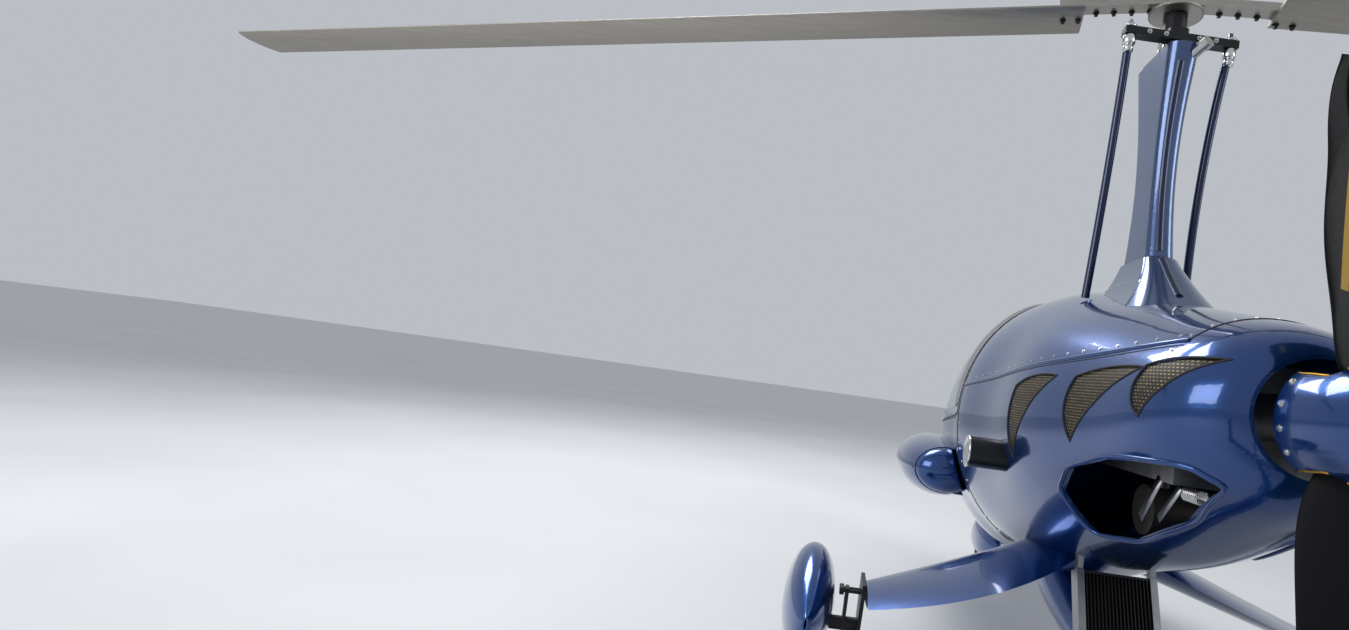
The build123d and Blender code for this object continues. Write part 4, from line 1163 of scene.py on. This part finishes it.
def channel(distance, depth):
    """Depth of a sewn channel at a distance from its line."""
    return depth * exp(-(distance / CHANNEL_WIDTH) ** 2)


def quilted(mesh, front_y, pan_z):
    """Presses sewn channels into the pan and the back of a seat."""
    recline = Vector((0, 190, 560)).normalized()
    for vertex in mesh.vertices:
        x, y, z = vertex.co
        along_pan = y - front_y
        up_back = (along_pan - PAN_LENGTH) * recline.y + (z - pan_z - PAN_THICKNESS) * recline.z
        facing = vertex.normal
        if facing.z < 0.25 and facing.y > -0.2:
            continue
        depth = sum(channel(x - seam_x, LONG_DEPTH) for seam_x in (-CHANNEL_X, CHANNEL_X))
        if abs(x) < CHANNEL_X and up_back > 0.06:
            depth += sum(channel(up_back - 0.14 - 0.115 * row, CROSS_DEPTH) for row in range(4))
        elif abs(x) < CHANNEL_X:
            depth += sum(channel(along_pan - 0.085 - 0.095 * row, CROSS_DEPTH) for row in range(3))
        vertex.co -= facing * depth


for name, front_y, pan_z in SEATS:
    mesh = shell_of(name, 0.010, 0.006)
    puffed(mesh, pan_z - 0.004)
    quilted(mesh, front_y, pan_z)
    made = piece(name + "_padded", mesh, seat_leather, "airframe", "seat_cover")
    finer = made.modifiers.new("finer", "SUBSURF")
    finer.levels = finer.render_levels = 1
    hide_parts(name)

# %% [markdown]
# ## Instruments
# The panel holds five round dials with tick marks and a hand each, and a dark display.
# They face the front seat and carry no words.

# %% Dials
dial_face = worn("dial_face", (0.012, 0.012, 0.014), 0.0, 0.25, 0.4, 30.0, 0.05, coat=0.5)
dial_white = worn("dial_white", (0.72, 0.72, 0.68), 0.0, 0.4, 0.55, 30.0, 0.05)
panel_up = Vector((0, 30, 370)).normalized()
panel_out = Vector((0, panel_up.z, -panel_up.y))
panel_right = Vector((1, 0, 0))
DIALS = [
    (-0.125, 0.925, 0.036), (0.0, 0.930, 0.040), (0.125, 0.925, 0.036), (-0.125, 0.830, 0.027),
    (0.125, 0.830, 0.027),
]
DIAL_SWEEP, TICKS, TICK_INSET = 270, 24, 0.0055


def on_panel(x, z, lift=0.0):
    """Point on the panel's face towards the seat."""
    y = -2.150 + 0.030 * (z - 0.640) / 0.370
    return Vector((x, y, z)) + panel_out * lift


def spoke(share):
    """Direction on the dial's face, by share of its sweep."""
    angle = radians(DIAL_SWEEP * share - DIAL_SWEEP / 2)
    return panel_right * sin(angle) + panel_up * cos(angle)


bezels, faces, marks = [], [], []
for x, z, size in DIALS:
    centre = on_panel(x, z)
    bezel_profile = [
        (size, -0.002), (size + 0.004, -0.001), (size + 0.004, 0.004), (size + 0.001, 0.0065),
        (size - 0.002, 0.0055), (size - 0.002, 0.001),
    ]
    face_profile = [(size - 0.0022, -0.001), (size - 0.0022, 0.0026), (size - 0.004, 0.0028)]
    bezels.append(turned(bezel_profile, centre, panel_out, 40))
    faces.append(turned(face_profile, centre, panel_out, 40))
    ticks_at, hand_at = centre + panel_out * 0.0030, centre + panel_out * 0.0040
    for i in range(TICKS + 1):
        outer = size - TICK_INSET
        inner = outer - (0.007 if i % 4 == 0 else 0.004)
        along = spoke(i / TICKS)
        marks.append([ticks_at + along * outer, ticks_at + along * inner])
    along = spoke((x * 3.1 + z * 7.7) % 1)
    marks.append([hand_at - along * size * 0.15, hand_at + along * size * 0.68])
piece("dial_bezels", joined("dial_bezels", bezels), black_metal, "airframe", "black_metal")
piece("dial_faces", joined("dial_faces", faces), dial_face, "airframe", "panel_black")
tubes("dial_marks", marks, 0.0006, dial_white, "airframe", "radiator_grey", sides=1)

display = bmesh.new()
display_outline = ((-0.075, 0.79), (0.075, 0.79), (0.075, 0.872), (-0.075, 0.872))
corners = [
    display.verts.new(on_panel(x, z, lift)) for lift in (-0.001, 0.005) for x, z in display_outline
]
for quad in ((3, 2, 1, 0), (4, 5, 6, 7), (0, 1, 5, 4), (1, 2, 6, 5), (2, 3, 7, 6), (3, 0, 4, 7)):
    display.faces.new([corners[i] for i in quad])
bmesh.ops.bevel(display, geom=list(display.edges), offset=0.003, segments=3, affect="EDGES")
piece("display", joined("display", [display]), dial_face, "airframe", "panel_black")

# %% Size and end
size = {"cad": cad_box, "visual": [list(corner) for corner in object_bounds()]}
